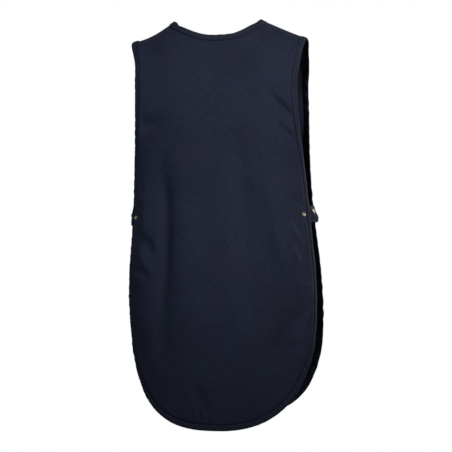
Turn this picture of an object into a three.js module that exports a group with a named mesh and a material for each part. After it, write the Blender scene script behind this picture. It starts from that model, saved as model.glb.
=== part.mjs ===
// Cobbler apron: two hip-length panels joined on the shoulders, bound all round with a
// folded tape, and held together at the waist by a press-stud tab on each side.
// Millimetres, +Z up, wearer's back towards -Y. The origin lies midway between the neck
// ends of the shoulder seams. Lengths and widths of the panels run to the seam line, where
// the tape is stitched on; the tape's own width lies outside it.
import * as THREE from 'three';

// Lengths down from the neck ends of the shoulder seams
const backLength = 742.5;
const frontLength = 735;
const shoulderDrop = 29;
const leftSlump = 3.5;
const backNeckDrop = 44;
const frontNeckDrop = 92;
const hemRise = 202;
const rightWaistDrop = 359;
const leftWaistDrop = 365;

// Widths and depths of the panels as they hang
const neckHalf = 91;
const hipHalf = 174;
const backDepth = 116;
const frontDepth = 120;
const drift = 18;

// How far to the side the front's hem hangs past the back's, and how late that sets in
const frontSwing = 8;
const swingGrowth = 1.5;

// How far below the seam the cloth turns from flat on the shoulder to hanging
const turnAtNeck = 170;
const turnAtTip = 112;
const slopeSoftening = 6;

// How far the middle of each shoulder seam lies below a straight line
const rightShoulderHollow = 1;
const leftShoulderHollow = 4.5;

// Cloth, folded tape and the clearances between sewn layers
const clothWall = 1.2;
const tapeWall = 0.8;
const tapeWidth = 10;
const layerGap = 0.3;
const seamGap = 0.3;

// Waist tabs
const tabWidth = 30;
const tabWall = 2;
const tabLap = 34;
const tabClearance = 0.7;
const tabLapLean = 1.4;
const rightTabBulge = 9;
const leftTabBulge = 5;
const tabLapSteps = 4;
const tabSpanSteps = 8;
const tabLines = 6;

// How a tab sags: shares of its bulge, evenly spaced from its top edge to its lower edge
const tabSag = [0.26, 0.32, 0.50, 0.80, 1.04, 1.02, 0.80];

// Press studs
const studRadius = 5.1;
const studHeight = 1.3;
const studStandOff = 0.5;
const studInset = 17;
const studSides = 10;
const spareStudAlong = 0.25;
const spareStudDown = 0.333;

// Steps over which the run of the cloth is taken: a share of the half width, a drop, and
// a share of the neck's half width
const acrossStep = 0.012;
const dropStep = 3;
const neckStep = 0.01;

// Height of the deepest fold, and of the softer ones on the front
const foldHeight = 8;
const frontFoldHeight = 6;

// A fold's height at its ends, and the share of the half width over which folds fade out
// at the edge
const foldEndShare = 0.35;
const foldFade = 0.22;

// Tightest curl that a level's section can take
const roundestSection = 0.98;

// Roundness of the hem corners
const hemPower = 2.6;

// Shape of each neckline: roundness at its lowest point, how fully it falls from its ends,
// and the share of its half width by which the lowest point lies off the middle
const backNeck = { power: 2.4, ease: 0.74, skew: 0.1 };
const frontNeck = { power: 2.1, ease: 0.48, skew: 0 };

// How far the tight tape makes the cloth stand up at the neckline, the reach over which
// that dies away, and the share of the neckline's drop over which it grows from the ends
const backNeckStand = 10;
const frontNeckStand = 3;
const neckStandReach = 13;
const neckStandGrowth = 0.75;

// Grid steps of the panels; columns crowd towards the sides, rows towards the top, and
// the columns of the neck settle into even ones over a share of the length
const backColumns = { shoulder: 7, neck: 20 };
const frontColumns = { shoulder: 5, neck: 16 };
const backRows = 29;
const frontRows = 20;
const columnCrowding = 0.6;
const rowSpread = 1.35;
const columnSettle = 0.3;

// Hanging shape by level. drop is a share of the panel's length; half of hipHalf;
// middle and edge of the panel's depth; round says how far the section curls at its
// edges; sway is a share of drift.
const sections = [
  { drop: 0.000, half: 0.898, middle: 0.86, edge: 0.80, round: 0.70, sway: 0.02 },
  { drop: 0.050, half: 0.888, middle: 0.87, edge: 0.80, round: 0.70, sway: 0.19 },
  { drop: 0.100, half: 0.848, middle: 0.88, edge: 0.79, round: 0.75, sway: 0.46 },
  { drop: 0.160, half: 0.826, middle: 0.90, edge: 0.78, round: 0.80, sway: 0.45 },
  { drop: 0.235, half: 0.836, middle: 0.91, edge: 0.74, round: 0.84, sway: 0.48 },
  { drop: 0.300, half: 0.870, middle: 0.90, edge: 0.58, round: 0.88, sway: 0.44 },
  { drop: 0.375, half: 0.914, middle: 0.86, edge: 0.37, round: 0.91, sway: 0.38 },
  { drop: 0.450, half: 0.941, middle: 0.83, edge: 0.28, round: 0.92, sway: 0.42 },
  { drop: 0.530, half: 0.971, middle: 0.86, edge: 0.27, round: 0.93, sway: 0.49 },
  { drop: 0.610, half: 1.004, middle: 0.93, edge: 0.27, round: 0.93, sway: 0.56 },
  { drop: 0.690, half: 1.014, middle: 0.98, edge: 0.32, round: 0.93, sway: 0.65 },
  { drop: 0.770, half: 1.000, middle: 1.00, edge: 0.37, round: 0.92, sway: 0.77 },
  { drop: 0.860, half: 0.962, middle: 1.01, edge: 0.41, round: 0.91, sway: 0.84 },
  { drop: 1.000, half: 0.945, middle: 1.02, edge: 0.44, round: 0.90, sway: 0.72 },
];

// Folds of the back. across is a share of the half width, drop of the length, width of
// hipHalf and height of foldHeight: above zero a ridge, below zero a valley.
const backFolds = [
  { across: [-0.64, -0.57, -0.56, -0.63], drop: [0.34, 0.48, 0.64, 0.84], width: 0.100, height: -1.25 },
  { across: [-0.88, -0.82, -0.86], drop: [0.38, 0.50, 0.66], width: 0.080, height: 0.56 },
  { across: [-0.36, -0.30, -0.22], drop: [0.36, 0.54, 0.86], width: 0.172, height: 0.62 },
  { across: [0.30, 0.34, 0.38], drop: [0.30, 0.56, 0.74], width: 0.115, height: -0.81 },
  { across: [0.60, 0.66, 0.71, 0.75], drop: [0.34, 0.50, 0.60, 0.70], width: 0.126, height: 1.12 },
  { across: [0.70, 0.74, 0.78], drop: [0.34, 0.52, 0.70], width: 0.259, height: 1.00 },
  { across: [0.66, 0.72, 0.70], drop: [0.76, 0.82, 0.89], width: 0.161, height: -0.94 },
  { across: [0.14, 0.12, 0.16], drop: [0.34, 0.54, 0.70], width: 0.172, height: 0.38 },
  { across: [-0.88, -0.72, -0.58], drop: [0.46, 0.43, 0.38], width: 0.070, height: 0.45 },
  { across: [-0.92, -0.80, -0.66], drop: [0.53, 0.555, 0.60], width: 0.070, height: -0.55 },
  { across: [0.94, 0.82, 0.70], drop: [0.25, 0.22, 0.17], width: 0.060, height: -0.35 },
  { across: [0.94, 0.86, 0.76], drop: [0.32, 0.29, 0.25], width: 0.060, height: -0.30 },
  { across: [-1.00, -0.84, -0.64], drop: [0.262, 0.262, 0.25], width: 0.086, height: -0.69 },
  { across: [-0.24, -0.17, -0.10], drop: [0.90, 0.94, 0.985], width: 0.070, height: -0.50 },
  { across: [0.90, 0.76, 0.62], drop: [0.73, 0.77, 0.82], width: 0.080, height: -0.50 },
];

// Folds of the front, with the same columns and heights of frontFoldHeight
const frontFolds = [
  { across: [-0.52, -0.44, -0.50], drop: [0.34, 0.56, 0.84], width: 0.110, height: -0.80 },
  { across: [0.48, 0.40, 0.47], drop: [0.36, 0.58, 0.86], width: 0.110, height: -0.80 },
  { across: [-0.14, -0.08, -0.12], drop: [0.42, 0.62, 0.94], width: 0.130, height: 0.70 },
  { across: [0.88, 0.72, 0.56], drop: [0.48, 0.46, 0.40], width: 0.080, height: 0.55 },
  { across: [-0.88, -0.72, -0.56], drop: [0.48, 0.46, 0.40], width: 0.080, height: 0.55 },
];

const panels = {
  back: {
    side: -1, length: backLength, depth: backDepth, swing: 0,
    neckDrop: backNeckDrop, neck: backNeck, neckStand: backNeckStand,
    columns: backColumns, rows: backRows, folds: backFolds, foldHeight,
  },
  front: {
    side: 1, length: frontLength, depth: frontDepth, swing: frontSwing,
    neckDrop: frontNeckDrop, neck: frontNeck, neckStand: frontNeckStand,
    columns: frontColumns, rows: frontRows, folds: frontFolds, foldHeight: frontFoldHeight,
  },
};

// Materials
const navyCloth = new THREE.MeshStandardMaterial({ color: '#262a36', roughness: 0.92, metalness: 0 });
const navyTape = new THREE.MeshStandardMaterial({ color: '#222735', roughness: 0.9, metalness: 0 });
const studMetal = new THREE.MeshStandardMaterial({ color: '#b9b4a4', roughness: 0.35, metalness: 1 });

const mix = THREE.MathUtils.lerp;
const { clamp } = THREE.MathUtils;

function smoothStep(share) {
  const t = clamp(share, 0, 1);
  return t * t * (3 - 2 * t);
}

// One column of the sections table at a level, eased between its rows
function sectionValue(column, level) {
  const place = clamp(level, 0, 1);
  const last = sections.length - 2;
  let row = 0;
  while (row < last && sections[row + 1].drop < place) row += 1;
  const before = sections[Math.max(row - 1, 0)];
  const start = sections[row];
  const end = sections[row + 1];
  const after = sections[Math.min(row + 2, last + 1)];
  const span = end.drop - start.drop;
  const slopeStart = (end[column] - before[column]) / (end.drop - before.drop) * span;
  const slopeEnd = (after[column] - start[column]) / (after.drop - start.drop) * span;
  const t = (place - start.drop) / span;
  const t2 = t * t;
  const t3 = t2 * t;
  return (2 * t3 - 3 * t2 + 1) * start[column] + (t3 - 2 * t2 + t) * slopeStart
    + (3 * t2 - 2 * t3) * end[column] + (t3 - t2) * slopeEnd;
}

const shoulderHalf = sectionValue('half', 0) * hipHalf;

// Drop of the shoulder seam below its neck end, at a share of the half width
function seamDrop(across) {
  const run = shoulderHalf - neckHalf;
  const past = Math.abs(across) * shoulderHalf - neckHalf;
  const straight = (past + Math.hypot(past, slopeSoftening) - slopeSoftening) / 2;
  const slumped = leftSlump * clamp(-across, 0, 1) ** 2;
  const along = clamp(past / run, 0, 1);
  const hollow = across < 0 ? leftShoulderHollow : rightShoulderHollow;
  return shoulderDrop / run * straight + slumped + 4 * hollow * along * (1 - along);
}

// Drop of the neckline at a share of the neck's half width
function neckDropAt(panel, share) {
  const { power, ease, skew } = panel.neck;
  const skewed = share - skew * (1 - share * share);
  const fall = Math.max(1 - Math.abs(skewed) ** power, 0);
  return panel.neckDrop * fall ** ease;
}

// Distance below the neckline's seam, near enough, and less than zero above it
function reachToNeck(panel, across, drop) {
  const share = across * shoulderHalf / neckHalf;
  const inside = clamp(share, -1, 1);
  const before = Math.max(inside - neckStep, -1);
  const after = Math.min(inside + neckStep, 1);
  const rise = neckDropAt(panel, after) - neckDropAt(panel, before);
  const slope = rise / ((after - before) * neckHalf);
  const below = (drop - seamDrop(across) - neckDropAt(panel, inside)) / Math.hypot(1, slope);
  const past = (Math.abs(share) - 1) * neckHalf;
  return past > 0 ? Math.hypot(Math.max(below, 0), past) : below;
}

// Height by which the cloth stands up towards the neckline, in millimetres
function neckStandOffset(panel, across, drop) {
  const share = clamp(across * shoulderHalf / neckHalf, -1, 1);
  const grown = smoothStep(neckDropAt(panel, share) / panel.neckDrop / neckStandGrowth);
  return panel.neckStand * grown * Math.exp(-reachToNeck(panel, across, drop) / neckStandReach);
}

// Drop of the hem's seam line at a share of the half width
function hemDropAt(panel, share) {
  const fall = Math.max(1 - Math.abs(share) ** hemPower, 0);
  return panel.length - hemRise + hemRise * fall ** (1 / hemPower);
}

// Height of all folds at a place on the panel, in millimetres
function foldOffset(panel, across, level) {
  const place = new THREE.Vector2(across * hipHalf, level * panel.length);
  let height = 0;
  for (const fold of panel.folds) {
    const points = fold.across.map(
      (share, i) => new THREE.Vector2(share * hipHalf, fold.drop[i] * panel.length),
    );
    let nearest = Infinity;
    let along = 0;
    for (let i = 0; i + 1 < points.length; i += 1) {
      const run = points[i + 1].clone().sub(points[i]);
      const t = clamp(place.clone().sub(points[i]).dot(run) / run.lengthSq(), 0, 1);
      const distance = place.distanceTo(points[i].clone().addScaledVector(run, t));
      if (distance < nearest) {
        nearest = distance;
        along = (i + t) / (points.length - 1);
      }
    }
    const spread = nearest / (fold.width * hipHalf);
    const taper = foldEndShare + (1 - foldEndShare) * Math.sin(Math.PI * along);
    height += fold.height * panel.foldHeight * taper * Math.exp(-spread * spread);
  }
  return height;
}

// Point of the hanging cloth before its folds; across runs from -1 to 1, drop in mm
function hangingPoint(panel, across, drop) {
  const level = drop / panel.length;
  const half = sectionValue('half', level) * hipHalf;
  const swing = panel.swing * Math.max(level, 0) ** swingGrowth;
  const x = across * half + sectionValue('sway', level) * drift + swing;
  const curl = Math.min(sectionValue('round', level), roundestSection);
  const rim = Math.sqrt(1 - curl * curl);
  const crown = (Math.sqrt(Math.max(1 - (curl * across) ** 2, 0)) - rim) / (1 - rim);
  const edge = sectionValue('edge', level);
  const depth = (edge + (sectionValue('middle', level) - edge) * crown) * panel.depth;
  const turn = mix(turnAtNeck, turnAtTip, clamp(Math.abs(across), 0, 1));
  const below = clamp((drop - seamDrop(across)) / turn, 0, 1);
  const arch = Math.sqrt(1 - (1 - below) ** 2);
  return new THREE.Vector3(x, panel.side * (seamGap / 2 + depth * arch), -drop);
}

// Outward direction of the hanging cloth
function outwardAt(panel, across, drop) {
  const step = 0.5;
  const reach = step / hipHalf;
  const rightward = hangingPoint(panel, across + reach, drop)
    .sub(hangingPoint(panel, across - reach, drop));
  const downward = hangingPoint(panel, across, drop + step)
    .sub(hangingPoint(panel, across, Math.max(drop - step, 0)));
  return downward.cross(rightward).multiplyScalar(-panel.side).normalize();
}

// Point of the outer face of the folded cloth
function clothPoint(panel, across, drop) {
  const fade = smoothStep((1 - Math.abs(across)) / foldFade);
  const folds = foldOffset(panel, across, drop / panel.length) * fade;
  return hangingPoint(panel, across, drop)
    .addScaledVector(outwardAt(panel, across, drop), folds + neckStandOffset(panel, across, drop));
}

// Outward direction of the folded cloth
function clothNormal(panel, across, drop) {
  const right = Math.min(across + acrossStep, 1);
  const left = Math.max(across - acrossStep, -1);
  const rightward = clothPoint(panel, right, drop).sub(clothPoint(panel, left, drop));
  const downward = clothPoint(panel, across, drop + dropStep)
    .sub(clothPoint(panel, across, Math.max(drop - dropStep, 0)));
  return downward.cross(rightward).multiplyScalar(-panel.side).normalize();
}

// Upward direction at the shoulder seam, square to its slope
function seamNormal(panel, across) {
  const reach = 0.01;
  const ends = [across - reach, across + reach].map(
    (share) => hangingPoint(panel, share, seamDrop(share)),
  );
  const run = ends[1].sub(ends[0]);
  return new THREE.Vector3(-run.z, 0, run.x).normalize();
}

// Share of the half width of one grid column, at the shoulder and further down
function columnShares(panel, column) {
  const { shoulder, neck } = panel.columns;
  const half = shoulder + neck / 2;
  const place = (column - half) / half;
  const even = mix(place, Math.sin(place * Math.PI / 2), columnCrowding);
  const neckShare = neckHalf / shoulderHalf;
  const fromMiddle = Math.abs(column - half);
  if (fromMiddle <= neck / 2) {
    const turn = (1 - (1 - fromMiddle / (neck / 2)) ** 2) * Math.PI / 2;
    return { top: Math.sign(place) * neckShare * Math.sin(turn), even, onNeck: true };
  }
  const pastNeck = (fromMiddle - neck / 2) / shoulder;
  return { top: Math.sign(place) * mix(neckShare, 1, pastNeck), even, onNeck: false };
}

// Grid of points and outward directions inside the panel's seam line
function panelGrid(panel) {
  const { shoulder, neck } = panel.columns;
  const count = 2 * shoulder + neck;
  const neckShare = neckHalf / shoulderHalf;
  const grid = [];
  const normals = [];
  for (let row = 0; row <= panel.rows; row += 1) {
    const down = row / panel.rows;
    const line = [];
    const facing = [];
    for (let column = 0; column <= count; column += 1) {
      const { top, even, onNeck } = columnShares(panel, column);
      const neckLine = onNeck ? neckDropAt(panel, top / neckShare) : 0;
      const topDrop = seamDrop(top) + neckLine;
      const drop = mix(topDrop, hemDropAt(panel, even), down ** rowSpread);
      const across = mix(top, even, smoothStep(down / columnSettle));
      const onSeam = row === 0 && (column <= shoulder || column >= shoulder + neck);
      line.push(clothPoint(panel, across, drop));
      facing.push(onSeam ? seamNormal(panel, across) : clothNormal(panel, across, drop));
    }
    grid.push(line);
    normals.push(facing);
  }
  return { grid, normals };
}

// Outward directions of a grid, from the run of its rows and columns
function gridNormals(grid, side) {
  return grid.map((line, row) => line.map((point, column) => {
    const above = grid[Math.max(row - 1, 0)][column];
    const below = grid[Math.min(row + 1, grid.length - 1)][column];
    const left = line[Math.max(column - 1, 0)];
    const right = line[Math.min(column + 1, line.length - 1)];
    const normal = below.clone().sub(above).cross(right.clone().sub(left));
    return normal.multiplyScalar(-side).normalize();
  }));
}

// Edge stations of a panel: seam point, outward direction and direction to the rim
function edgeStations(cells, side) {
  const stations = cells.map(({ point, normal, onSeam }) => ({ point, normal, onSeam }));
  stations.forEach((station, i) => {
    const before = stations[Math.max(i - 1, 0)].point;
    const after = stations[Math.min(i + 1, stations.length - 1)].point;
    const run = after.clone().sub(before);
    if (station.onSeam) run.set(0, i === 0 ? side : -side, 0);
    station.rim = run.normalize().cross(station.normal).normalize();
  });
  return stations;
}

// The panel's grid with the stations of its outer edge and of its neckline
function layOutPanel(panel) {
  const { grid, normals } = panelGrid(panel);
  const lastRow = grid.length - 1;
  const lastColumn = grid[0].length - 1;
  const cell = (row, column) => ({
    point: grid[row][column], normal: normals[row][column], onSeam: row === 0, row, column,
  });
  const { shoulder, neck } = panel.columns;
  let rimCells = [];
  for (let row = 0; row <= lastRow; row += 1) rimCells.push(cell(row, 0));
  for (let column = 1; column < lastColumn; column += 1) rimCells.push(cell(lastRow, column));
  for (let row = lastRow; row >= 0; row -= 1) rimCells.push(cell(row, lastColumn));
  let neckCells = [];
  for (let column = shoulder + neck; column >= shoulder; column -= 1) {
    const onSeam = column === shoulder || column === shoulder + neck;
    neckCells.push({ ...cell(0, column), onSeam });
  }
  if (panel.side > 0) {
    rimCells = rimCells.reverse();
    neckCells = neckCells.reverse();
  }
  const rim = edgeStations(rimCells, panel.side);
  const neckline = edgeStations(neckCells, panel.side);
  return { grid, normals, rimCells, neckCells, rim, neckline };
}

// Builds a closed solid from an open sheet of outer points, with a wall on its inner side
function thicken(points, normals, faces, wall) {
  const count = points.length;
  const positions = [];
  points.forEach((point) => positions.push(point.x, point.y, point.z));
  points.forEach((point, i) => {
    const inner = point.clone().addScaledVector(normals[i], -wall);
    positions.push(inner.x, inner.y, inner.z);
  });
  const index = [];
  const open = new Map();
  for (const [a, b, c] of faces) {
    index.push(a, b, c, c + count, b + count, a + count);
    for (const [from, to] of [[a, b], [b, c], [c, a]]) {
      if (open.has(`${to}_${from}`)) open.delete(`${to}_${from}`);
      else open.set(`${from}_${to}`, [from, to]);
    }
  }
  for (const [from, to] of open.values()) {
    index.push(to, from, from + count, to, from + count, to + count);
  }
  const geometry = new THREE.BufferGeometry();
  geometry.setAttribute('position', new THREE.Float32BufferAttribute(positions, 3));
  geometry.setIndex(index);
  geometry.computeVertexNormals();
  return geometry;
}

// Faces of a rectangular grid whose outward side faces the given way
function gridFaces(rows, columns, side) {
  const faces = [];
  for (let row = 0; row + 1 < rows; row += 1) {
    for (let column = 0; column + 1 < columns; column += 1) {
      const a = row * columns + column;
      const b = a + columns;
      if (side < 0) faces.push([a, b, b + 1], [a, b + 1, a + 1]);
      else faces.push([a, b + 1, b], [a, a + 1, b + 1]);
    }
  }
  return faces;
}

// One panel of cloth, out to the fold of its tape
function panelGeometry(panel, layout) {
  const points = layout.grid.flat();
  const normals = layout.normals.flat();
  const columns = layout.grid[0].length;
  const faces = gridFaces(layout.grid.length, columns, panel.side);
  const addStrip = (cells, stations) => {
    const inner = cells.map(({ row, column }) => row * columns + column);
    const outer = stations.map(({ point, normal, rim }) => {
      points.push(point.clone().addScaledVector(rim, tapeWidth));
      normals.push(normal);
      return points.length - 1;
    });
    for (let i = 0; i + 1 < inner.length; i += 1) {
      faces.push([inner[i], outer[i], outer[i + 1]], [inner[i], outer[i + 1], inner[i + 1]]);
    }
  };
  addStrip(layout.rimCells, layout.rim);
  addStrip(layout.neckCells, layout.neckline);
  return thicken(points, normals, faces, clothWall);
}

// Section of the folded tape: reach from the seam towards the rim, and height over the cloth
function tapeSection() {
  const fold = tapeWidth + layerGap;
  const under = -clothWall - layerGap;
  return [
    [0, layerGap], [fold, layerGap], [fold, under], [0, under],
    [0, under - tapeWall], [fold + tapeWall, under - tapeWall],
    [fold + tapeWall, layerGap + tapeWall], [0, layerGap + tapeWall],
  ];
}

// A closed ring of folded tape along the stations of an edge
function tapeGeometry(stations) {
  const section = tapeSection();
  const positions = [];
  for (const { point, normal, rim } of stations) {
    for (const [reach, height] of section) {
      const corner = point.clone().addScaledVector(rim, reach).addScaledVector(normal, height);
      positions.push(corner.x, corner.y, corner.z);
    }
  }
  const size = section.length;
  const index = [];
  for (let i = 0; i < stations.length; i += 1) {
    const next = (i + 1) % stations.length;
    for (let k = 0; k < size; k += 1) {
      const l = (k + 1) % size;
      const a = i * size + k;
      const b = i * size + l;
      const c = next * size + k;
      const d = next * size + l;
      if (section[l][0] >= section[k][0]) index.push(a, d, b, a, c, d);
      else index.push(a, c, b, b, c, d);
    }
  }
  const geometry = new THREE.BufferGeometry();
  geometry.setAttribute('position', new THREE.Float32BufferAttribute(positions, 3));
  geometry.setIndex(index);
  geometry.computeVertexNormals();
  return geometry;
}

// Joins the edges of both panels into one loop that crosses the shoulder seams
function joinedLoop(backStations, frontStations) {
  const onSeam = ({ point, normal, rim }) => ({ point: point.clone().setY(0), normal, rim });
  const loop = backStations.map((station) => (station.onSeam ? onSeam(station) : station));
  return loop.concat(frontStations.filter((station) => !station.onSeam));
}

// Frame of the panel's rim beside the waist tab, at one level
function rimFrame(panel, side, drop) {
  const point = clothPoint(panel, side, drop);
  const normal = clothNormal(panel, side, drop);
  const downward = clothPoint(panel, side, drop + dropStep)
    .sub(clothPoint(panel, side, drop - dropStep));
  const outward = downward.cross(normal).multiplyScalar(panel.side * side).normalize();
  return { point: point.addScaledVector(outward, tapeWidth), normal, outward };
}

// One level of a waist tab: under the back panel, round the side, under the front panel
function tabLine(side, bulge, drop) {
  const inset = clothWall + layerGap + tapeWall + tabClearance;
  const lapped = (panel) => {
    const half = sectionValue('half', drop / panel.length) * hipHalf;
    const edge = rimFrame(panel, side, drop);
    const line = [];
    for (let i = 0; i < tabLapSteps; i += 1) {
      const inward = 1 - i / tabLapSteps;
      const back = (tabLap - tapeWidth) * inward;
      const across = side * (1 - back / half);
      const normal = outwardAt(panel, across, drop);
      const depth = inset + tabLapLean * inward;
      line.push(clothPoint(panel, across, drop).addScaledVector(normal, -depth));
    }
    const rim = edge.point.clone().addScaledVector(edge.normal, -inset);
    return { line, rim, outward: edge.outward };
  };
  const back = lapped(panels.back);
  const front = lapped(panels.front);

  // The middle of the span moves out by an eighth of the pulls at its two ends
  const sum = back.outward.clone().add(front.outward).length();
  const pull = 8 * bulge / sum;
  const span = [];
  for (let i = 0; i <= tabSpanSteps; i += 1) {
    const t = i / tabSpanSteps;
    const t2 = t * t;
    const t3 = t2 * t;
    span.push(new THREE.Vector3()
      .addScaledVector(back.rim, 2 * t3 - 3 * t2 + 1)
      .addScaledVector(back.outward, (t3 - 2 * t2 + t) * pull)
      .addScaledVector(front.rim, 3 * t2 - 2 * t3)
      .addScaledVector(front.outward, -(t3 - t2) * pull));
  }
  return [...back.line, ...span, ...front.line.reverse()];
}

// Grid of a waist tab, its top line first
function tabGrid({ side, bulge, waistDrop }) {
  const grid = [];
  for (let i = 0; i <= tabLines; i += 1) {
    const drop = waistDrop + (i / tabLines - 0.5) * tabWidth;
    grid.push(tabLine(side, bulge * tabSag[i], drop));
  }
  return grid;
}

// A waist tab of doubled cloth
function tabGeometry(grid, side) {
  const normals = gridNormals(grid, -side);
  const faces = gridFaces(grid.length, grid[0].length, -side);
  return thicken(grid.flat(), normals.flat(), faces, tabWall);
}

// A round press-stud cap with a raised ring, lying in the XY plane
function studGeometry() {
  const profile = [
    [0, 0], [0.96, 0], [1, 0.35], [0.94, 0.8], [0.8, 1], [0.62, 0.85], [0.54, 0.4], [0, 0.3],
  ].map(([radius, height]) => new THREE.Vector2(radius * studRadius, height * studHeight));
  const geometry = new THREE.LatheGeometry(profile, studSides);
  geometry.rotateX(Math.PI / 2);
  return geometry;
}

// Places a press stud on a point of a face, its cap along the outward direction
function addStud(group, name, point, normal) {
  const stud = new THREE.Mesh(studGeometry(), studMetal);
  stud.name = name;
  stud.quaternion.setFromUnitVectors(new THREE.Vector3(0, 0, 1), normal);
  stud.position.copy(point).addScaledVector(normal, studStandOff);
  group.add(stud);
}

function addMesh(group, name, geometry, material) {
  const mesh = new THREE.Mesh(geometry, material);
  mesh.name = name;
  group.add(mesh);
}

const apron = new THREE.Group();
apron.name = 'cobbler_apron';

const back = layOutPanel(panels.back);
const front = layOutPanel(panels.front);
addMesh(apron, 'back_panel', panelGeometry(panels.back, back), navyCloth);
addMesh(apron, 'front_panel', panelGeometry(panels.front, front), navyCloth);
addMesh(apron, 'edge_binding', tapeGeometry(joinedLoop(back.rim, front.rim)), navyTape);
addMesh(apron, 'neck_binding', tapeGeometry(joinedLoop(back.neckline, front.neckline)), navyTape);

const tabs = [
  { name: 'right', side: 1, bulge: rightTabBulge, waistDrop: rightWaistDrop },
  { name: 'left', side: -1, bulge: leftTabBulge, waistDrop: leftWaistDrop },
];
for (const tab of tabs) {
  const { name, side, waistDrop } = tab;
  const grid = tabGrid(tab);
  addMesh(apron, `waist_tab_${name}`, tabGeometry(grid, side), navyCloth);

  // The stud that fastens the tab, on the back panel
  const half = sectionValue('half', waistDrop / backLength) * hipHalf;
  const across = side * (1 + (tapeWidth - studInset) / half);
  addStud(apron, `panel_stud_${name}`, clothPoint(panels.back, across, waistDrop),
    outwardAt(panels.back, across, waistDrop));

  // The spare stud for a wider fit, on the tab where it rounds the side
  const row = Math.round(spareStudDown * tabLines);
  const column = tabLapSteps + Math.round(spareStudAlong * tabSpanSteps);
  addStud(apron, `spare_stud_${name}`, grid[row][column],
    gridNormals(grid, -side)[row][column]);
}

export default apron;
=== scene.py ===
"""Navy cobbler apron as worn, seen from the back.

Two hip-length panels of plain weave polycotton hang from the shoulder seams. A folded tape
binds the outer edge and the neckline, and a tab with press studs holds the panels together
at each side of the waist. Sizes are in millimetres in the classes and turned to metres
where a mesh is made. The wearer's back is towards -Y and +Z is up.
"""
import logging
import math
from collections.abc import Callable, Sequence
from dataclasses import dataclass, field, replace
from enum import Enum

import bmesh
import bpy
import numpy as np
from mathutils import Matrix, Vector


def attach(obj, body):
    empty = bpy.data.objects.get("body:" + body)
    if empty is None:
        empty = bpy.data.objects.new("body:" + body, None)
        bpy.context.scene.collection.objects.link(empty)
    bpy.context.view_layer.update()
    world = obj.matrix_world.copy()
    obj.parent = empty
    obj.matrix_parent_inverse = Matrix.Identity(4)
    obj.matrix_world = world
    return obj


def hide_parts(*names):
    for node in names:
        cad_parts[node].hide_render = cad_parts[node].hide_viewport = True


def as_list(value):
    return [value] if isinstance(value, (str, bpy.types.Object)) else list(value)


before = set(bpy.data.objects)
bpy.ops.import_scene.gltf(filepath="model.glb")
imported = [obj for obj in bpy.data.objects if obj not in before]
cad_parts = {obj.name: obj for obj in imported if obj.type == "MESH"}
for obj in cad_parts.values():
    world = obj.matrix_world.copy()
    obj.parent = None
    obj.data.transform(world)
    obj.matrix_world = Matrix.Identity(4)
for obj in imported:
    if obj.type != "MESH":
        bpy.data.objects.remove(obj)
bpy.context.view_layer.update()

LOG = logging.getLogger("cobbler_apron")
MILLIMETRE = 0.001
BODY = "root"
UV_NAME = "flat_cloth"
SEED = 7


class Side(Enum):
    """Which panel a piece belongs to. The value is the sign of its Y."""

    BACK = -1
    FRONT = 1


class Hand(Enum):
    """The wearer's right or left. The value is the sign of its X."""

    RIGHT = 1
    LEFT = -1


class Edge(Enum):
    """An edge of a panel that carries folded tape."""

    OUTER = "outer"
    NECK = "neck"


class Slot(Enum):
    """Material slots of the record."""

    CLOTH = "navy_cloth"
    TAPE = "navy_tape"
    METAL = "stud_metal"


# Small mathematics


def smooth_step(share: np.ndarray) -> np.ndarray:
    """Eases a share from 0 to 1.

    Args:
        share: Values that are clipped to 0..1.

    Returns:
        The eased values.
    """
    t = np.clip(share, 0.0, 1.0)
    return t * t * (3.0 - 2.0 * t)


def mix(start: np.ndarray, end: np.ndarray, share: np.ndarray) -> np.ndarray:
    """Blends two values.

    Args:
        start: Value at share 0.
        end: Value at share 1.
        share: How far to go from start to end.

    Returns:
        The blended value.
    """
    return start + (end - start) * share


def unit(vectors: np.ndarray) -> np.ndarray:
    """Scales vectors to length one.

    Args:
        vectors: Array whose last axis is X, Y, Z.

    Returns:
        The array with every vector of length one.
    """
    return vectors / np.maximum(np.linalg.norm(vectors, axis=-1, keepdims=True), 1e-12)


def ripple(places: np.ndarray, wavelengths: Sequence[float], seed: int) -> np.ndarray:
    """Smooth seeded unevenness made of plane waves, about -1 to 1.

    Args:
        places: N x 2 places in millimetres.
        wavelengths: Wavelengths of the waves in millimetres.
        seed: Seed of the directions and phases.

    Returns:
        N values.
    """
    random = np.random.default_rng(seed)
    total = np.zeros(len(places))
    for length in wavelengths:
        angle = random.uniform(0.0, 2.0 * math.pi)
        phase = random.uniform(0.0, 2.0 * math.pi)
        along = places[:, 0] * math.cos(angle) + places[:, 1] * math.sin(angle)
        total += np.sin(2.0 * math.pi * along / length + phase)
    return total / math.sqrt(len(wavelengths))


def curve_between(
    start: np.ndarray, leave: np.ndarray, end: np.ndarray, arrive: np.ndarray, share: np.ndarray
) -> np.ndarray:
    """Cubic curve between two values with a given slope at each.

    Args:
        start: Value at share 0.
        leave: Slope at share 0.
        end: Value at share 1.
        arrive: Slope at share 1.
        share: How far to go from start to end.

    Returns:
        The values on the curve.
    """
    rest = 1.0 - share
    return (
        start * (1.0 + 2.0 * share) * rest**2
        + leave * share * rest**2
        + end * (3.0 - 2.0 * share) * share**2
        - arrive * rest * share**2
    )


def lengths_along(points: np.ndarray) -> np.ndarray:
    """Length of a bent line from its first point to each of its points.

    Args:
        points: The points, one to a row.

    Returns:
        One length for each point.
    """
    steps = np.linalg.norm(np.diff(points, axis=0), axis=1)
    return np.concatenate([[0.0], np.cumsum(steps)])


def closed_row(row: np.ndarray) -> np.ndarray:
    """Repeats the first entry of a ring at its end.

    Args:
        row: Points or directions round the ring.

    Returns:
        One entry more than the ring has.
    """
    return np.vstack([row, row[:1]])


# The hanging form


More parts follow.
